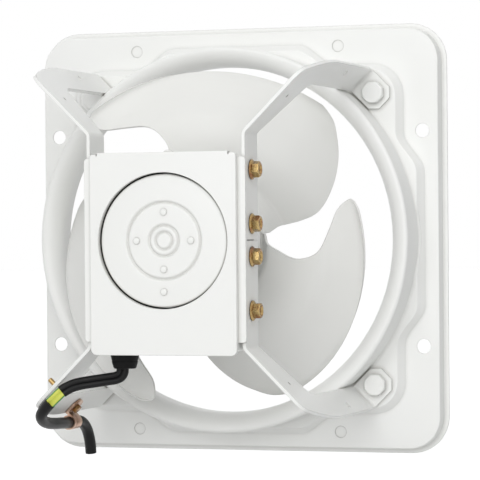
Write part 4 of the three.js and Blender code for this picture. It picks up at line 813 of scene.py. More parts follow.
@dataclass
class OrificePanel:
    """The square pressing: lip, rim, border, raised area, bell mouth and throat in one sheet.

    The jog holds where, along half a side, the raised area starts and ends drawing in. The dimple holds
    a radius and a depth.
    """

    throat_rows: Point = (22.0, 28.0)
    flare_start: float = 34.0
    flare_width: float = 14.65
    flare_height: float = 18.8
    bead: float = 3.2
    foot_fillet: float = 2.2
    foot_radius: float = 177.0
    rim_half: float = 195.0
    rim_corner: float = 30.0
    rim_edge: float = 1.4
    lip_width: float = 5.0
    lip_bend: float = 1.2
    step_side: float = 183.0
    step_corner: float = 163.53
    step_run: float = 7.0
    step_rounding: float = 0.08
    step_rows: Sequence[float] = (0, 0.04, 0.08, 0.12, 0.16, 0.5, 0.84, 0.88, 0.92, 0.96, 1)
    corner_rounding: float = 24.0
    jog: Point = (62.0, 98.0)
    columns: int = 360
    hole_radius: float = 6.5
    hole_at: Point = (180.0, 99.7)
    dimple: Point = (5.5, 0.6)

    @staticmethod
    def along_rays(outline: Sequence[Point], turns: np.ndarray) -> np.ndarray:
        """How far a closed outline lies from the shaft's axis along each direction."""
        points = np.array(outline)
        angles = np.unwrap(np.arctan2(points[:, 1], points[:, 0]))
        order = np.argsort(angles % (2 * math.pi))
        points = points[order]
        angles = angles[order] % (2 * math.pi)
        points, angles = np.vstack([points[-1], points, points[0]]), np.concatenate(
            [[angles[-1] - 2 * math.pi], angles, [angles[0] + 2 * math.pi]])
        first = np.clip(np.searchsorted(angles, turns, side="right") - 1, 0, len(angles) - 2)
        start, edge = points[first], points[first + 1] - points[first]
        return (start[:, 0] * edge[:, 1] - start[:, 1] * edge[:, 0]) / (
            np.cos(turns) * edge[:, 1] - np.sin(turns) * edge[:, 0])

    def raised(self, inset: float) -> list[Point]:
        """Outline of the raised area: wide at the sides' middles, drawn in round the corners."""
        side, corner = self.step_side - inset, self.step_corner - inset
        radius = self.corner_rounding + self.step_run - inset
        shares = np.linspace(0, 1, 15)
        ease = shares ** 2 * (3 - 2 * shares)
        jog = list(zip(side + (corner - side) * ease, self.jog[0] + (self.jog[1] - self.jog[0]) * shares))
        bend = arc((corner - radius, corner - radius), radius, 0, 90, 14)
        quarter = [*jog, *bend, *[(y, x) for x, y in jog[::-1]]]
        quarters = [((x, y), (-y, x), (-x, -y), (y, -x)) for x, y in quarter]
        return [row[k] for k in range(4) for row in quarters]

    def rings(self) -> np.ndarray:
        """The pressing's front surface as rings, from the throat's back edge to the lip."""
        turns = np.linspace(0, 2 * math.pi, self.columns + 1)
        rays = turns[:-1]
        flat = np.ones_like(rays)
        crest = SIZES.throat_radius + self.flare_width
        top = self.flare_start + self.flare_height
        rows = [(SIZES.throat_radius * flat, w * flat) for w in self.throat_rows]
        rows += [(r * flat, w * flat) for r, w in
                 arc((crest, self.flare_start), (self.flare_width, self.flare_height), 180, 90, 14)]
        rows += [(r * flat, w * flat) for r, w in arc((crest, top - self.bead), self.bead, 90, 0, 7)[1:]]

        inner = self.along_rays(self.raised(self.step_run), rays)
        outer = self.along_rays(self.raised(0), rays)

        def slope(radius: np.ndarray) -> np.ndarray:
            """Height of the raised area's slope, a ramp with rounded ends."""
            share = np.clip((radius - inner) / (outer - inner), 0, 1)
            soft = self.step_rounding
            ends = np.minimum(share, 1 - share)
            bent = np.where(ends < 2 * soft, ends ** 2 / (4 * soft), ends - soft) / (1 - 2 * soft)
            return SIZES.step_height * np.where(share < 0.5, 1 - bent, bent)

        foot = (self.foot_radius + self.foot_fillet) * flat
        ground = slope(foot)
        for turn in (0, 30, 60, 90):
            t = math.radians(turn)
            rise = self.foot_fillet * (1 - math.sin(t))
            rows.append((foot - self.foot_fillet * math.cos(t), ground + rise))
        start = np.maximum(inner, foot + 0.2)
        radii = [(foot + start) / 2, *(start + (outer - start) * share for share in self.step_rows)]
        rows += [(radius, slope(radius)) for radius in radii]

        def square(grow: float, height: float) -> tuple[np.ndarray, np.ndarray]:
            """A ring along the rim, this much outside it and at this height."""
            half = self.rim_half + grow
            outline = rounded_rectangle((half, half), self.rim_corner + grow, steps=16)
            return self.along_rays(outline, rays), height * flat

        edge = square(-self.rim_edge, 0)
        rows.append(((outer + edge[0]) / 2, 0 * flat))
        for turn in range(0, 91, 15):
            t = math.radians(turn)
            rows.append(square(-self.rim_edge * (1 - math.sin(t)), -self.rim_edge * (1 - math.cos(t))))
        lip_face = SIZES.panel_sheet - RIM_DEPTH
        rows.append(square(0, lip_face + self.lip_bend))
        for turn in (30, 60, 90):
            t = math.radians(turn)
            rows.append(square(self.lip_bend * (1 - math.cos(t)),
                               lip_face + self.lip_bend * (1 - math.sin(t))))
        rows.append(square(self.lip_width, lip_face))
        grid = np.array([np.column_stack([r * np.cos(rays), r * np.sin(rays), w]) for r, w in rows])
        return np.concatenate([grid, grid[:, :1]], axis=1)

    def build(self) -> None:
        """Presses the sheet, gives it its wall, and punches its holes."""
        panel = cleaned(sheet("panel_pressing", self.rings()))
        self.face_the_room(panel)
        with_modifier(panel, "SOLIDIFY", thickness=SIZES.panel_sheet * MM, offset=-1, use_even_offset=True)
        cutters, nuts = [], []
        low = SIZES.step_height - SIZES.panel_sheet - SIZES.nut_height
        for sx, sy in QUARTERS.values():
            x, y = self.hole_at
            radius, depth = self.dimple
            cutters.append(peg(self.hole_radius, 8, standing(FAN, sx * x, sy * y, -4), 48))
            cutters.append(peg(radius, 4, standing(FAN, sx * y, sy * x, -depth), 48))
        closed(carved(panel, cutters))
        for sx, sy in QUARTERS.values():
            x, y = SIZES.foot_bolt
            place = standing(FAN, sx * x, sy * y, low)
            nut = pushed("weld_nut", regular(6, SIZES.nut_flats), SIZES.nut_height + 0.4, place)
            nuts.append(softened(drilled(nut, SIZES.nut_bore, place), 0.5))
        smoothed(panel, 40)
        dress(joined(panel, *nuts), Finishes.ENAMEL, STATIC, "orifice_panel")

    def face_the_room(self, panel: Piece) -> None:
        """Turns an open sheet's faces towards the room, so that its wall grows behind them."""
        middle = (self.step_side + self.rim_half) / 2 * MM
        border = min(panel.data.polygons, key=lambda face: abs(face.center.x - middle) + abs(face.center.z))
        if border.normal.y > 0:
            panel.data.flip_normals()


# ---- Arms and bolts -------------------------------------------------------------------------------


@dataclass
class Arms:
    """Four bent straps from the motor bracket to the panel's corners, with their bolts.

    The pilot holds how far its hole lies inside the leg and behind the front. The side bolts' turns are a
    first angle, and what is added to it by row, by side and by height.
    """

    bend_radius: float = 4.0
    elbow_rise: float = 18.0
    elbow_rounding: float = 12.0
    shoulder: float = 120.0
    neck: float = 12.0
    nose: float = 14.0
    curve: float = 15.0
    foot_length: float = 30.0
    foot_chamfer: float = 7.0
    foot_bend: float = 3.0
    pilot: Point = (16.6, 23.0)
    pilot_radius: float = 1.75
    tie_hole: float = 2.75
    tie_hole_inset: float = 9.5
    tie_hole_out: float = 80.0
    arm_gap: float = 0.45
    edge: float = 0.35
    foot_bolt_turn: float = 22.5
    side_bolt_turns: Point = (13.0, 37.0, 21.0, 9.0)

    def strip(self) -> Piece:
        """The strap seen along the shaft, as deep as the fan."""
        thick, bend = SIZES.arm_sheet, self.bend_radius
        tangent = bend / math.tan(math.radians(67.5))
        reach = SIZES.bend_height - self.arm_gap
        slant = math.sqrt(0.5)
        down, back = (-slant * reach, -slant * reach), (-slant * thick, slant * thick)
        outline = [*arc((tangent, -bend), bend, 135, 90, 8), (SIZES.leg_outer, 0), (SIZES.leg_outer, thick),
                   *arc((tangent, -bend), bend + thick, 90, 135, 8),
                   (down[0] + back[0], down[1] + back[1]), down]
        place = standing(SIZES.arm_place, 0, 0, SIZES.step_height)
        return pushed("arm", outline, SIZES.arm_front - SIZES.step_height, place)

    @staticmethod
    def curve_through(start: Point, control: Point, end: Point, steps: int = 10) -> list[Point]:
        """A quadratic curve without its first point."""
        return [tuple((1 - t) ** 2 * a + 2 * t * (1 - t) * b + t * t * c
                      for a, b, c in zip(start, control, end))
                for t in np.linspace(0, 1, steps + 1)[1:]]

    def side_view(self, bottom: float) -> Piece:
        """The strap's side view: beam, rounded elbow and leg, pushed through its thickness."""
        inner, outer, rear, front = SIZES.leg_inner, SIZES.leg_outer, SIZES.arm_rear, SIZES.arm_front
        elbow, rounding = rear - self.elbow_rise, self.elbow_rounding
        far, low = -1.2 * SIZES.bend_height, -SIZES.bend_height
        outline = [(far, rear), (0, rear), (inner - 0.7 * rounding, elbow + 0.2 * rounding)]
        outline += self.curve_through(outline[-1], (inner, elbow), (inner, elbow - rounding))
        outline += [(inner, bottom), (outer, bottom), (outer, self.shoulder)]
        lean = math.atan2(self.neck, front - self.nose - rear + self.curve)
        nose = (outer - 2.23 * self.neck, front - self.nose)
        join = arc(nose, self.nose, math.degrees(lean), 90, 14)
        corner = join[0][1] - (outer - join[0][0]) / math.tan(lean)
        outline += self.curve_through(outline[-1], (outer, corner), join[0], 14)
        outline += [*join[1:], (far, front)]
        return extruded("side_view", [(x, low, w) for x, w in outline], (0, 2 * SIZES.arm_sheet - low, 0),
                        SIZES.arm_place)

    def foot(self, bottom: float) -> Piece:
        """The foot, bent off the leg's outer face, with its free corners clipped."""
        seat, thick, bend = SIZES.step_height, SIZES.arm_sheet, self.foot_bend
        inner, outer = SIZES.leg_inner, SIZES.leg_outer
        end, cut = -self.foot_length, self.foot_chamfer
        centre = (-bend, seat + thick + bend)
        outline = [(0, bottom), *arc(centre, bend, 0, -90, 6), (end, seat + thick), (end, seat),
                   *arc(centre, bend + thick, -90, 0, 6), (thick, bottom)]
        piece = extruded("foot", [(inner, y, w) for y, w in outline], (outer - inner, 0, 0), SIZES.arm_place)
        clips = []
        for x, side in ((inner, 1), (outer, -1)):
            corner = [(x - side, end - 1), (x + side * cut, end - 1), (x + side * cut, end), (x, end + cut),
                      (x - side, end + cut)]
            clips.append(pushed("clip", corner, 2 * thick, standing(SIZES.arm_place, 0, 0, seat - 1)))
        return carved(piece, clips)

    def holes(self, tie_hole_out: float) -> list[Piece]:
        """Cutters for the bolts' holes and the two small ones, the lower of them at this height."""
        arm, (pilot_in, pilot_back) = SIZES.arm_place, self.pilot
        middle = (SIZES.leg_inner + SIZES.leg_outer) / 2
        small = [(SIZES.leg_inner - pilot_in, SIZES.arm_front - pilot_back, self.pilot_radius),
                 (SIZES.leg_outer - self.tie_hole_inset, tie_hole_out, self.tie_hole)]
        return [peg(SIZES.bolt_hole, 12, standing(arm, middle, -SIZES.foot_offset, 6), 48),
                *(peg(radius, 16, standing(arm, x, -6, w, "+y"), 32) for x, w, radius in small),
                *(peg(SIZES.bolt_hole, 12, standing(FAN, SIZES.arm_face - 8, row, SIZES.bolt_out, "+x"), 32)
                  for row in SIZES.bolt_rows)]

    def build(self) -> None:
        """Makes the arm that holds the clamp, the other three, and every arm's bolts."""
        arms = {clamped: self.arm(SIZES.clamp_out if clamped else self.tie_hole_out)
                for clamped in (True, False)}
        foot_bolt, side_bolt, round_bolt = self.foot_bolt(), self.side_bolt(), self.round_bolt()
        first, by_row, by_side, by_height = self.side_bolt_turns
        for name, (sx, sy) in QUARTERS.items():
            strap = copied(arms[name == "lower_left"], f"strap_{name}", Matrix.Diagonal((sx, 1, sy, 1)))
            dress(strap, Finishes.ENAMEL, STATIC, f"arm_{name}")
            x, y = SIZES.foot_bolt
            place = standing(FAN, sx * x, sy * y, SIZES.step_height + SIZES.arm_sheet)
            head = copied(foot_bolt, f"foot_head_{name}", turned(place, self.foot_bolt_turn))
            dress(head, Finishes.ENAMEL, STATIC, f"foot_bolt_{name}")
            model, out = (side_bolt, "+x") if sx > 0 else (round_bolt, "-x")
            for i, row in enumerate(SIZES.bolt_rows):
                place = standing(FAN, sx * (SIZES.arm_face + SIZES.seat_gap), sy * row, SIZES.bolt_out, out)
                place = turned(place, first + by_row * i + by_side * sx + by_height * sy)
                bolt = copied(model, f"flange_bolt_{name}_{i + 1}", place)
                dress(bolt, Finishes.YELLOW_ZINC, STATIC, f"side_bolt_{name}_{i + 1}")
        for piece in (*arms.values(), foot_bolt, side_bolt, round_bolt):
            bpy.data.objects.remove(piece)

    def arm(self, tie_hole_out: float) -> Piece:
        """The upper right arm, with the hole that a clamp's screw may use at this height."""
        bottom = SIZES.step_height + SIZES.arm_sheet + 2 * self.foot_bend
        arm = carved(self.strip(), [self.side_view(bottom)], "INTERSECT")
        carved(arm, [self.foot(bottom + 0.5)], "UNION")
        carved(arm, self.holes(tie_hole_out))
        return softened(arm, self.edge)

    @staticmethod
    def headed(name: str, sides: int, flats: float, low: float, high: float, chamfer: float) -> Piece:
        """A polygonal head whose outer end is turned off by a cone, in its own millimetres."""
        head = pushed(name, regular(sides, flats), high - low, standing(OWN, 0, 0, low))
        corner = flats / 2 / math.cos(math.pi / sides)
        cone = spun("cone", [(0, low - 1), (corner + 1, low - 1), (corner + 1, high - chamfer - 0.5),
                             (flats / 2 * 0.94, high), (0, high)], 64, OWN)
        return carved(head, [cone], "INTERSECT")

    @staticmethod
    def eased(head: Piece, width: float, segments: int) -> Piece:
        """Rounds the edges of a head that stands in its own millimetres."""
        head.data.transform(Matrix.Scale(MM, 4))
        softened(head, width, segments, 25)
        head.data.transform(Matrix.Scale(1 / MM, 4))
        return head

    def foot_bolt(self) -> Piece:
        """The painted bolt on a foot: eight soft sides and a plain shank."""
        head = self.eased(self.headed("foot_bolt", 8, 19, 0, 7.5, 1.6), 0.5, 3)
        length = SIZES.arm_sheet + SIZES.panel_sheet + SIZES.nut_height
        return joined(head, spun("shank", [(0, -length), (3.4, -length), (4, -length + 0.6), (4, 0.2),
                                           (0, 0.2)], 32, OWN))

    @staticmethod
    def shank(radius: float = 4.0, pitch: float = 1.25) -> Piece:
        """A side bolt's threaded shank, through the arm, the bracket and the weld nut."""
        weld_nut = SIZES.bracket_half - SIZES.arm_sheet - SIZES.nut_height
        length = SIZES.arm_face + SIZES.seat_gap - weld_nut
        winding = thread(radius, radius - 0.55, 0.9 - length, pitch, 14)
        return spun("shank", [(0, -length), (radius - 0.7, -length), *winding, (radius, 0.5), (0, 0.5)],
                    32, OWN)

    def round_bolt(self) -> Piece:
        """A plated bolt with a low domed head and a hexagonal socket."""
        head = spun("round_bolt", [(0, 0), (6.6, 0), (7, 0.4), (7, 0.9), *arc((0, -3.6), 7.8, 36, 64, 8),
                                   (0, 3.4)], 64, OWN)
        carved(head, [pushed("socket", regular(6, 5), 4, standing(OWN, 0, 0, 1.2))])
        return smoothed(joined(head, self.shank()), 28)

    def side_bolt(self) -> Piece:
        """A plated flange bolt: conical flange, dished hexagonal head and threaded shank."""
        flange = spun("flange_bolt", [(0, 0), (8.5, 0), *arc((8.45, 0.5), 0.5, -90, 80, 5), (6.6, 2.7),
                                      (0, 2.7)], 64, OWN)
        head = self.headed("head", 6, 12.7, 0.7, 8.1, 1.5)
        dish = spun("dish", [(0, 6.6), (3.4, 6.6), (4.7, 8.2), (4.7, 9), (0, 9)], 48, OWN)
        self.eased(carved(head, [dish]), 0.28, 2)
        return smoothed(joined(flange, head, self.shank()), 28)


# ---- Motor, bracket and cover ---------------------------------------------------------------------


@dataclass
class MotorMount:
    """The bracket between the arms, the cover over its front and the wiring box under the motor.

    Step and slit hold a width and a depth, the bump a place, a width and a height, the gasket its inner
    and outer radius and its height, and the wire hole its place and radius.
    """

    plate_half: float = 74.3
    plate_top: float = 72.3
    plate_bottom: float = -88.4
    opening: float = 61.5
    opening_start: float = 200.0
    flange_margin: float = 2.4
    cover_half: float = 67.15
    cover_top: float = 77.0
    cover_bottom: float = -99.7
    cover_corner: float = 5.5
    cover_edge: float = 2.0
    cover_sheet: float = 1.2
    cover_face: float = 211.7
    cover_cut_start: float = 203.0
    step: Point = (6.0, 1.5)
    ring: float = 59.4
    bump: Point = (5.0, 8.0, 2.0)
    collar: float = 1.1
    slit: Point = (1.0, 1.2)
    gasket: Point = (58.15, 60.9, 2.8)
    box_half: float = 65.8
    box_top: float = -70.0
    box_wall: float = 1.2
    gland_hole: float = 11.3
    wire_hole: Point = (20.0, 6.0)

    def bracket(self) -> None:
        """The plate round the motor and its two flanges, with the weld nuts on their inner faces."""
        middle = (self.plate_top + self.plate_bottom) / 2
        half = (self.plate_top - self.plate_bottom) / 2
        thick = SIZES.plate_front - SIZES.plate_back
        place = standing(FAN, 0, 0, SIZES.plate_back)
        plate = rounded_rectangle((self.plate_half, half), 3, (0, middle))
        piece = pushed("bracket_channel", plate, thick, place)
        low, high = self.plate_bottom + self.flange_margin, self.plate_top - self.flange_margin
        depth = SIZES.plate_back + 1 - SIZES.arm_rear
        adds, cuts = [], [peg(self.opening, 8, standing(FAN, 0, 0, self.opening_start), 128)]
        for side, into in ((-1, "+x"), (1, "-x")):
            outer, inner = side * SIZES.bracket_half, side * (SIZES.bracket_half - SIZES.arm_sheet)
            left, right = sorted((outer, inner))
            outline = [(left, low), (right, low), (right, high), (left, high)]
            adds.append(pushed("flange", outline, depth, standing(FAN, 0, 0, SIZES.arm_rear)))
            for row in [sign * row for row in SIZES.bolt_rows for sign in (1, -1)]:
                nut, bore = (standing(FAN, inner + side * behind, row, SIZES.bolt_out, into)
                             for behind in (0.5, 6))
                adds.append(pushed("weld_nut", regular(6, SIZES.nut_flats), SIZES.nut_height + 0.5, nut))
                cuts.append(peg(SIZES.nut_bore, 20, bore))
        carved(carved(piece, adds, "UNION"), cuts)
        dress(softened(piece, 0.45), Finishes.ENAMEL, STATIC, "motor_bracket")

    def cover_outline(self, inset: float) -> list[Point]:
        """The cover's outline: square corners below, stepped and notched ones above."""
        half = self.cover_half - inset
        radius = max(self.cover_corner - inset, 0.6)
        low = self.cover_bottom + inset
        shoulder = self.cover_top - self.step[1] - inset
        step = self.cover_half - self.step[0] - inset
        right = [*arc((half - radius, low + radius), radius, -90, 0, 8),
                 *arc((half - radius / 2, shoulder - radius / 2), radius / 2, 0, 90, 6),
                 (step + 0.5, shoulder), (step, shoulder + 0.5), (step, self.cover_top - inset)]
        return [*right, *[(-x, y) for x, y in right[::-1]]]

    def cover(self) -> None:
        """The shallow pressed cover with its round opening, notches and bump."""
        depth = self.cover_face - SIZES.plate_front
        place = standing(FAN, 0, 0, SIZES.plate_front)
        piece = pushed("motor_cover", self.cover_outline(0), depth, place)
        x, width, height = self.bump
        low = self.cover_top - 3
        top = arc((x, self.cover_top - 0.4), (width / 2, height + 0.4), 0, 180, 16)
        bump = pushed("bump", [(x + width / 2, low), *top, (x - width / 2, low)], depth - self.cover_edge,
                      place)
        front = -(self.cover_face + RIM_DEPTH) * MM
        with editing(piece, "EDGE"):
            bpy.ops.mesh.select_all(action="DESELECT")
            bpy.ops.object.mode_set(mode="OBJECT")
            for edge in piece.data.edges:
                edge.select = all(abs(piece.data.vertices[v].co.y - front) < 1e-6 for v in edge.vertices)
            bpy.ops.object.mode_set(mode="EDIT")
            bpy.ops.mesh.bevel(offset=self.cover_edge * 0.9 * MM, segments=5, affect="EDGES",
                               clamp_overlap=True)
        carved(piece, [bump], "UNION")
        hollow = pushed("hollow", self.cover_outline(self.cover_sheet), depth - self.cover_sheet + 1,
                        standing(FAN, 0, 0, SIZES.plate_front - 1))
        behind = standing(FAN, 0, 0, self.cover_cut_start)
        opening = peg(self.ring, 12, behind, 160)
        slits = []
        wide, drop = self.slit
        step, top = self.cover_half - self.step[0], self.cover_top + 1
        bottom = self.cover_top - self.step[1] - drop
        for side in (-1, 1):
            left, right = sorted((side * step, side * (step - wide)))
            outline = [(left, bottom), (right, bottom), (right, top), (left, top)]
            slits.append(pushed("slit", outline, 12, behind))
        carved(piece, [hollow, opening, *slits])
        outer, lip = self.ring + self.collar, self.cover_face - 0.5
        collar = spun("collar", [(self.ring, SIZES.plate_front), (outer, SIZES.plate_front), (outer, lip),
                                 (self.ring, lip)], 160)
        carved(piece, [collar], "UNION")
        dress(softened(piece, 0.22, 2, 35), Finishes.ENAMEL, STATIC, "front_cover")

    def wiring_box(self) -> None:
        """The box under the motor, open to the cover, with holes for the gland and the motor's wires."""
        floor, rear, wall = SIZES.box_bottom, SIZES.arm_rear, self.box_wall
        middle, half = (floor + self.box_top) / 2, (self.box_top - floor) / 2
        box = pushed("wiring_tray", rounded_rectangle((self.box_half, half), 3, (0, middle)),
                     SIZES.plate_front - SIZES.seat_gap - rear, standing(FAN, 0, 0, rear))
        inside = rounded_rectangle((self.box_half - wall, half - wall), 3 - wall, (0, middle))
        hollow = pushed("hollow", inside, 60, standing(FAN, 0, 0, rear + wall))
        low, wide = self.plate_bottom - SIZES.seat_gap, 80
        under = pushed("under", [(-wide, low), (wide, low), (wide, -60), (-wide, -60)], 20,
                       standing(FAN, 0, 0, SIZES.plate_back))
        gland = peg(self.gland_hole, 4, standing(FAN, SIZES.gland_x, floor - 1, SIZES.gland_out, "+y"), 64)
        x, radius = self.wire_hole
        wires = peg(radius, 4, standing(FAN, x, self.box_top - 2.5, SIZES.gland_out, "+y"), 48)
        carved(box, [hollow, under, gland, wires])
        dress(softened(box, 0.3), Finishes.ENAMEL, STATIC, "wiring_box")

    def seal_ring_and_gap_shade(self) -> None:
        """The rubber ring in the plate's opening, with a rounded front, widened inwards to the cap: partly a
        real seal, and partly a dark piece that stands in for the shade in the gap round the cap.
        """
        inner, outer, height = self.gasket
        middle, half = (inner + outer) / 2, (outer - inner) / 2
        front = SIZES.plate_back + height
        ring = spun("motor_seal_and_gap_shade", [(inner, SIZES.plate_back), (outer, SIZES.plate_back),
                                   *arc((middle, front - 0.6), (half, 0.6), 0, 180, 8)], 128)
        dress(smoothed(ring, 50), Finishes.RUBBER, STATIC, "motor_gasket")

    def build(self) -> None:
        """Makes the bracket, the cover, the rubber ring that also stands in for the gap's shade, and the
        wiring box.
        """
        self.bracket()
        self.cover()
        self.seal_ring_and_gap_shade()
        self.wiring_box()


@dataclass
class Motor:
    """The motor's shell: front cap with its pressed rings and pimples, case and rear shield.

    Grooves are the rings' radii, and the pimple holds a radius and a height.
    """

    face: float = 208.0
    joint: float = 196.0
    back: float = 112.0
    wall: float = 2.0
    cap_wall: float = 3.5
    pocket: float = 16.05
    housing: float = 20.05
    grooves: Point = (33.5, 13.4, 7.6)
    groove_depth: float = 1.7
    groove_half: float = 2.9
    pimple: Point = (3.15, 1.3)
    pimple_circle: float = 25.0
    pimple_low: float = 44.5
    ear_radius: float = 66.0
    ear_half: float = 6.5
    ear_thick: float = 4.0
    ear_hole: float = 2.65
    shaft_hole: float = 7.0

    def ring(self, radius: float) -> list[Point]:
        """A soft pressed groove's section, from its outer side inwards."""
        run = np.linspace(self.groove_half, -self.groove_half, 17)
        fall = 0.5 * (1 + np.cos(np.pi * run / self.groove_half))
        return [(radius + x, self.face - self.groove_depth * f * f) for x, f in zip(run, fall)]

    def cap(self) -> None:
        """The cap that shows in the cover's opening, with four ears for its screws."""
        inside = self.face - self.cap_wall
        radius = SIZES.motor_radius
        pocket_open = inside - 10.6
        profile = [(0, inside), (self.pocket, inside), (self.pocket, pocket_open),
                   (self.housing, pocket_open), (self.housing, inside - 1), (radius - self.wall, inside - 1),
                   (radius - self.wall, self.joint), (radius, self.joint),
                   *arc((radius - 1.5, self.face - 1.5), 1.5, 0, 90, 6)]
        for groove in self.grooves:
            profile += self.ring(groove)
        cap = spun("motor_end_cap", [*profile, (0, self.face)], 160)
        reach, rise = self.pimple
        circle, crown = self.pimple_circle, self.face + rise
        section = [(0, self.face - 1), (reach, self.face - 1), (reach, self.face + 0.15),
                   (reach - 0.35, self.face + rise * 0.8), (reach - 1.0, crown), (0, crown)]
        spots = [(circle, 0), (-circle, 0), (0, circle), (0, -circle), (0, -self.pimple_low)]
        domes = [spun("pimple", section, 32, standing(FAN, x, y, 0)) for x, y in spots]
        start, half, low = radius - 1, self.ear_half, SIZES.plate_back - self.ear_thick
        tip = arc((self.ear_radius, 0), half, -90, 90, 14)
        ears = []
        for turn in (45, 135, 225, 315):
            place = turned(FAN, turn)
            ear = pushed("ear", [(start, -half), *tip, (start, half)], self.ear_thick,
                         standing(place, 0, 0, low))
            ears.append(drilled(ear, self.ear_hole, standing(place, self.ear_radius, 0, low)))
        carved(cap, [*domes, *ears], "UNION")
        dress(smoothed(cap, 34), Finishes.ENAMEL, STATIC, "motor_cap")

    def shell(self) -> None:
        """The drawn case and the shield that closes it towards the propeller."""
        radius, wall, lip = SIZES.motor_radius, self.wall, self.back + 6
        case = spun("motor_shell", [(radius - wall, lip), (radius - 0.3, lip), (radius, lip + 0.4),
                                    (radius, self.joint - 0.4), (radius - 0.3, self.joint),
                                    (radius - wall, self.joint)], 128)
        dress(smoothed(case), Finishes.ENAMEL, STATIC, "motor_case")
        pocket, inside = lip - self.cap_wall / 2, self.back + self.cap_wall
        shield = spun("motor_shield", [
            (self.shaft_hole, self.back), (self.housing - 4, self.back), (self.housing, self.back + 0.9),
            (34, self.back + 0.9), (36, self.back), *arc((radius - 2, self.back + 2), 2, -90, 0, 5),
            (radius, lip - 0.4), (radius - 0.3, lip), (radius - wall, lip), (radius - wall, inside),
            (self.housing, inside), (self.housing, pocket + 10), (self.pocket, pocket + 10),
            (self.pocket, pocket), (self.shaft_hole, pocket)], 128)
        dress(smoothed(shield, 34), Finishes.ENAMEL, STATIC, "motor_rear_shield")

    def build(self) -> None:
        """Makes the cap, the case and the shield."""
        self.cap()
        self.shell()


# ---- Propeller ------------------------------------------------------------------------------------


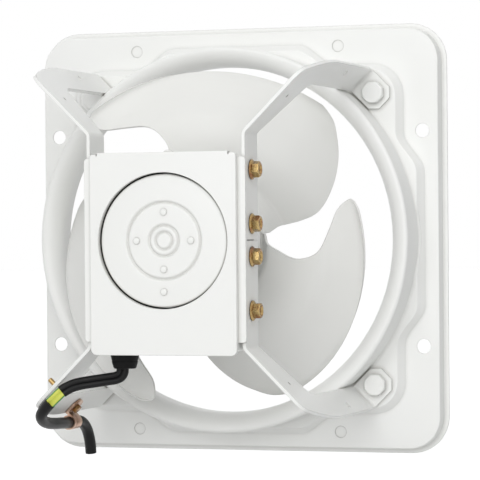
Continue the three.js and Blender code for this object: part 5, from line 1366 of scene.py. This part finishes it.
@dataclass
class Propeller:
    """Three blades and the disc between them, pressed from one sheet, on a riveted boss.

    Root and tip hold how far out the trailing and the leading edge lie. Both edges are points of (share
    of the blade's height, angle in degrees). The washer holds its two radii and its thickness.
    """

    blades: int = 3
    hub_radius: float = 50.0
    tip_radius: float = 154.0
    sheet: float = 2.0
    hub_plane: float = 81.0
    root: Point = (58.0, 104.0)
    tip: Point = (29.5, 122.0)
    camber: float = 6.0
    blend: float = 14.0
    across: int = 40
    up: int = 52
    row_spread: float = 1.15
    leading: Sequence[Point] = (
        (0, 125.9), (0.044, 125.5), (0.066, 123), (0.088, 119.8), (0.12, 117), (0.19, 113.6), (0.36, 109.4),
        (0.5, 110.8), (0.61, 115), (0.7, 123.5), (0.8, 131), (0.92, 133.8), (0.97, 133), (1, 129.5))
    trailing: Sequence[Point] = (
        (0, 6.1), (0.044, 6.5), (0.066, 8.8), (0.088, 11), (0.12, 12.2), (0.29, 12.8), (0.44, 15.3),
        (0.61, 23.7), (0.78, 33.7), (0.88, 40.6), (0.96, 46.5), (1, 53))
    hub_rows: Point = (38.0, 26.0, 13.3)
    boss_front: float = 100.0
    shaft_front: float = 202.9
    shaft_end: float = 62.0
    washer: Point = (4.3, 9.0, 1.6)
    rivets: int = 6
    rivet_circle: float = 19.5

    @staticmethod
    def edge(points: Sequence[Point], heights: np.ndarray) -> np.ndarray:
        """Angles of an edge, in radians, on a smooth curve through its points."""
        known = np.array([points[0], *points, points[-1]], float)
        curve = []
        for i in range(1, len(known) - 2):
            a, b, c, d = known[i - 1:i + 3]
            for t in np.linspace(0, 1, 24, endpoint=False):
                curve.append(0.5 * (2 * b + (c - a) * t + (2 * a - 5 * b + 4 * c - d) * t * t
                                    + (3 * b - a - 3 * c + d) * t ** 3))
        curve = np.array([*curve, known[-1]])
        return np.radians(np.interp(heights, curve[:, 0], curve[:, 1]))

    def out(self, radius: np.ndarray, share: np.ndarray) -> np.ndarray:
        """How far out from the wall the middle of the sheet lies."""
        height = (radius - self.hub_radius) / (self.tip_radius - self.hub_radius)
        rear = self.root[0] + (self.tip[0] - self.root[0]) * height
        front = self.root[1] + (self.tip[1] - self.root[1]) * height
        blade = rear + (front - rear) * share + self.camber * 4 * share * (1 - share)
        ease = np.clip((radius - self.hub_radius) / self.blend, 0, 1)
        return self.hub_plane + (blade - self.hub_plane) * ease ** 2 * (3 - 2 * ease)

    def blade(self) -> Piece:
        """One blade's sheet, from the hub's rim to its tip."""
        heights = 1 - (1 - np.linspace(0, 1, self.up + 1)) ** self.row_spread
        radii = self.hub_radius + (self.tip_radius - self.hub_radius) * heights
        start, end = self.edge(self.trailing, heights), self.edge(self.leading, heights)
        share = np.linspace(0, 1, self.across + 1)
        angles = start[:, None] + (end - start)[:, None] * share
        radius, share = np.broadcast_arrays(radii[:, None], share)
        points = [radius * np.cos(angles), radius * np.sin(angles), self.out(radius, share)]
        return sheet("blade", np.stack(points, axis=2))

    def hub(self) -> Piece:
        """The flat disc between the blades, its rim on the blades' roots."""
        start, end = (self.edge(points, np.zeros(1))[0] for points in (self.trailing, self.leading))
        third = 2 * math.pi / self.blades
        root = np.linspace(start, end, self.across + 1)
        gap = np.linspace(end, start + third, 7)[1:]
        rim = np.concatenate([np.concatenate([root, gap]) + third * k for k in range(self.blades)])
        radii = np.array([self.hub_radius, *self.hub_rows])
        rows = np.stack([radii[:, None] * np.cos(rim), radii[:, None] * np.sin(rim),
                         np.full((len(radii), len(rim)), self.hub_plane)], axis=2)
        return sheet("hub_disc", np.concatenate([rows, rows[:, :1]], axis=1))

    def build(self) -> None:
        """Presses the sheet, rivets it to its boss and adds the shaft and its nut."""
        first = self.blade()
        turns = [Matrix.Rotation(-2 * math.pi * k / self.blades, 4, "Y") for k in range(1, self.blades)]
        blades = [first, *[copied(first, "blade", turn) for turn in turns]]
        press = cleaned(joined(self.hub(), *blades), 5e-5)
        press.name = press.data.name = "propeller_pressing"
        with_modifier(press, "SOLIDIFY", thickness=self.sheet * MM, offset=0, use_even_offset=True)
        dress(softened(press, 0.45, 2, 50), Finishes.BLADE, ROTOR, "propeller")
        self.boss()
        self.shaft()

    def boss(self) -> None:
        """The turned boss behind the disc, with a ring of rivets."""
        back, front = self.hub_plane - self.sheet / 2, self.hub_plane + self.sheet / 2
        end = self.boss_front
        body = spun("propeller_hub", [
            (6.05, back - 8), (12, back - 8), (13, back - 7), (13, front), (25.6, front), (26, front + 0.4),
            (26, front + 2.6), (25.6, front + 3), *arc((15, front + 5), 2, -90, -180, 5), (13, end - 1),
            (12, end), (6.05, end)], 96)
        rivets = []
        for k in range(self.rivets):
            turn = 2 * math.pi * k / self.rivets
            place = standing(FAN, self.rivet_circle * math.cos(turn), self.rivet_circle * math.sin(turn), 0)
            rivets.append(spun("rivet", [(0, back - 2), *arc((0, back), (4.5, 2), -78, -4, 6), (4.5, back),
                                         (2.5, back), (2.5, front + 1), (0, front + 1)], 32, place))
        dress(smoothed(joined(body, *rivets), 34), Finishes.STEEL, ROTOR, "propeller_boss")

    def shaft(self) -> None:
        """The shaft with its threaded end, washer and nut."""
        end, front, back = self.shaft_end, self.shaft_front, self.hub_plane - 9
        winding = thread(4.0, 3.5, end + 0.8, 1.25, 14)
        profile = [(0, end), (3.3, end), *winding, (4, back), (5.6, back), (6, back + 0.4), (6, front - 0.4),
                   (5.6, front), (0, front)]
        dress(smoothed(spun("fan_shaft", profile, 48), 25), Finishes.STEEL, ROTOR, "motor_shaft")
        bore, rim, thick = self.washer
        seat = back - thick
        washer = spun("spring_washer", [(bore, seat), (rim - 0.2, seat), (rim, seat + 0.2), (rim, back - 0.2),
                                        (rim - 0.2, back), (bore, back)], 48)
        dress(smoothed(washer), Finishes.STEEL, ROTOR, "hub_washer")
        place, height = standing(FAN, 0, 0, seat, "-w"), SIZES.nut_height
        nut = pushed("shaft_nut", regular(6, SIZES.nut_flats), height, place)
        cone = spun("cone", [(0, -1), (9, -1), (9, height - 1.1), (6.1, height), (0, height)], 64, place)
        carved(nut, [cone], "INTERSECT")
        drilled(nut, SIZES.nut_bore, place, 48)
        dress(softened(nut, 0.25, 2, 28), Finishes.STEEL, ROTOR, "hub_nut")


# ---- Pieces inside --------------------------------------------------------------------------------


class InnerPieces:
    """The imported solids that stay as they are, hidden inside the motor and the wiring box."""

    finishes = {
        "stator_core": Finishes.LAMINATIONS, "stator_winding": Finishes.COPPER, "rotor_core": Finishes.CAST,
        "front_bearing": Finishes.STEEL, "rear_bearing": Finishes.STEEL,
        "bearing_wave_washer": Finishes.STEEL, "capacitor": Finishes.GREY_PLASTIC,
        "terminal_block": Finishes.TERMINAL,
        **{f"motor_screw_{i}": Finishes.STEEL for i in (1, 2, 3, 4)},
    }

    def build(self) -> None:
        """Gives each solid its finish."""
        for name, finish in self.finishes.items():
            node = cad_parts[name]
            node.data.materials.clear()
            node.data.materials.append(finish.value.build())
            LOG.info("%s keeps its solid in %s", name, finish.value.slot)


# ---- Studio ---------------------------------------------------------------------------------------


@dataclass
class Studio:
    """Camera, lamps, floor and the white surround. Angles are degrees, and lamps stand in metres."""

    focal_px: float = 2597.88
    picture_px: float = 480.0
    sensor: float = 36.0
    distance: float = 2452.66
    azimuth: float = 17.936
    elevation: float = 0.150
    roll: float = -0.451
    target: Point = (2.388, -0.404, 0.0)
    floor_drop: float = 330.0
    floor_glow: float = 0.5
    surround_strength: float = 0.25
    lamp_spread: float = 60.0

    def camera(self) -> None:
        """Puts the camera where the photograph was taken from."""
        azimuth, elevation, roll = (math.radians(a) for a in (self.azimuth, self.elevation, self.roll))
        back = Vector((math.sin(azimuth) * math.cos(elevation), -math.cos(azimuth) * math.cos(elevation),
                       math.sin(elevation)))
        right = Vector((0, 0, 1)).cross(back).normalized()
        up = back.cross(right)
        across = math.cos(roll) * right + math.sin(roll) * up
        upward = -math.sin(roll) * right + math.cos(roll) * up
        turn = Matrix((across, upward, back)).transposed().to_4x4()
        bpy.ops.object.camera_add()
        camera = bpy.context.object
        camera.name = "studio_camera"
        camera.matrix_world = Matrix.Translation(FAN @ Vector(self.target) + back * self.distance * MM) @ turn
        camera.data.sensor_width = self.sensor
        camera.data.lens = self.focal_px / self.picture_px * self.sensor
        camera.data.clip_end = 30
        bpy.context.scene.camera = camera

    def lamp(self, name: str, place: Point, strength: float, size: float = 0.0) -> None:
        """A soft lamp that faces the fan.

        Args:
            name: The lamp's name.
            place: Where it stands, in metres; a distant lamp keeps only the direction.
            strength: In watts, or in watts per square metre for a distant lamp.
            size: Side of a near square lamp in metres, or 0 for a distant one.
        """
        bpy.ops.object.light_add(type="AREA" if size else "SUN", location=place)
        lamp = bpy.context.object
        lamp.name = name
        lamp.data.energy = strength
        if size:
            lamp.data.size = size
        else:
            lamp.data.angle = math.radians(self.lamp_spread)
        target = Vector((0, -0.08, 0)) if size else Vector()
        lamp.rotation_euler = (target - Vector(place)).to_track_quat("-Z", "Y").to_euler()

    def surround(self) -> None:
        """A world that lights softly and shows as plain white."""
        world = bpy.context.scene.world or bpy.data.worlds.new("studio")
        bpy.context.scene.world = world
        world.use_nodes = True
        graph = Graph(world.node_tree)
        graph.tree.nodes.clear()
        soft = graph.add("Background", {"Color": (0.97, 0.985, 1.0, 1), "Strength": self.surround_strength})
        white = graph.add("Background", {"Color": (1, 1, 1, 1), "Strength": 1.0})
        mix = graph.add("MixShader", {"Fac": self.seen(graph), 1: soft["Background"], 2: white["Background"]})
        graph.add("OutputWorld", {"Surface": mix["Shader"]})

    @staticmethod
    def seen(graph: Graph) -> Socket:
        """One for rays that show a surface: from the camera, or off gloss, or through glass."""
        path = graph.add("LightPath", {})
        total = path["Is Camera Ray"]
        for name in ("Is Glossy Ray", "Is Transmission Ray"):
            total = graph.add("Math", {0: total, 1: path[name]}, operation="MAXIMUM")["Value"]
        return total

    def floor(self) -> None:
        """A pale floor below the fan that keeps its shadow and shows as white."""
        bpy.ops.mesh.primitive_plane_add(size=40, location=(0, 0, -self.floor_drop * MM))
        floor = bpy.context.object
        floor.name = "studio_floor"
        material = bpy.data.materials.new("studio_floor")
        material.use_nodes = True
        graph = Graph(material.node_tree)
        glow = graph.add("Math", {0: self.seen(graph), 1: self.floor_glow}, operation="MULTIPLY")["Value"]
        graph.feed(graph.tree.nodes["Principled BSDF"], {
            "Base Color": (0.8, 0.8, 0.8, 1), "Roughness": 0.9, "Emission Color": (1, 1, 1, 1),
            "Emission Strength": glow})
        floor.data.materials.append(material)

    def build(self) -> None:
        """Sets the lamps, the surround and the floor; the camera stands already."""
        self.lamp("front_lamp", (0.52, -2.95, 0), 1.37)
        self.lamp("top_lamp", (0.96, -0.35, 2.82), 0.45)
        self.lamp("side_lamp", (-2.94, -0.52, 0.26), 0.42)
        self.lamp("high_side_lamp", (-0.79, -0.66, 2.82), 0.36)
        self.lamp("rear_lamp", (-1.2, 2.6, 1.2), 0.35)
        self.lamp("near_lamp", (0.4, -1.6, 0.8), 10.2, 1.4)
        self.surround()
        self.floor()


def main() -> None:
    """Builds the studio's camera, the lead, every sub-assembly and the light, in that order."""
    logging.basicConfig(level=logging.INFO, format="%(name)s: %(message)s")
    studio = Studio()
    studio.camera()
    SupplyCord().build([])
    for assembly in (CordFittings(), OrificePanel(), Arms(), MotorMount(), Motor(), Propeller(),
                     InnerPieces(), studio):
        assembly.build()
        LOG.info("%s done", type(assembly).__name__)
    bpy.context.scene.view_settings.view_transform = "Standard"


if __name__ == "__main__":
    main()
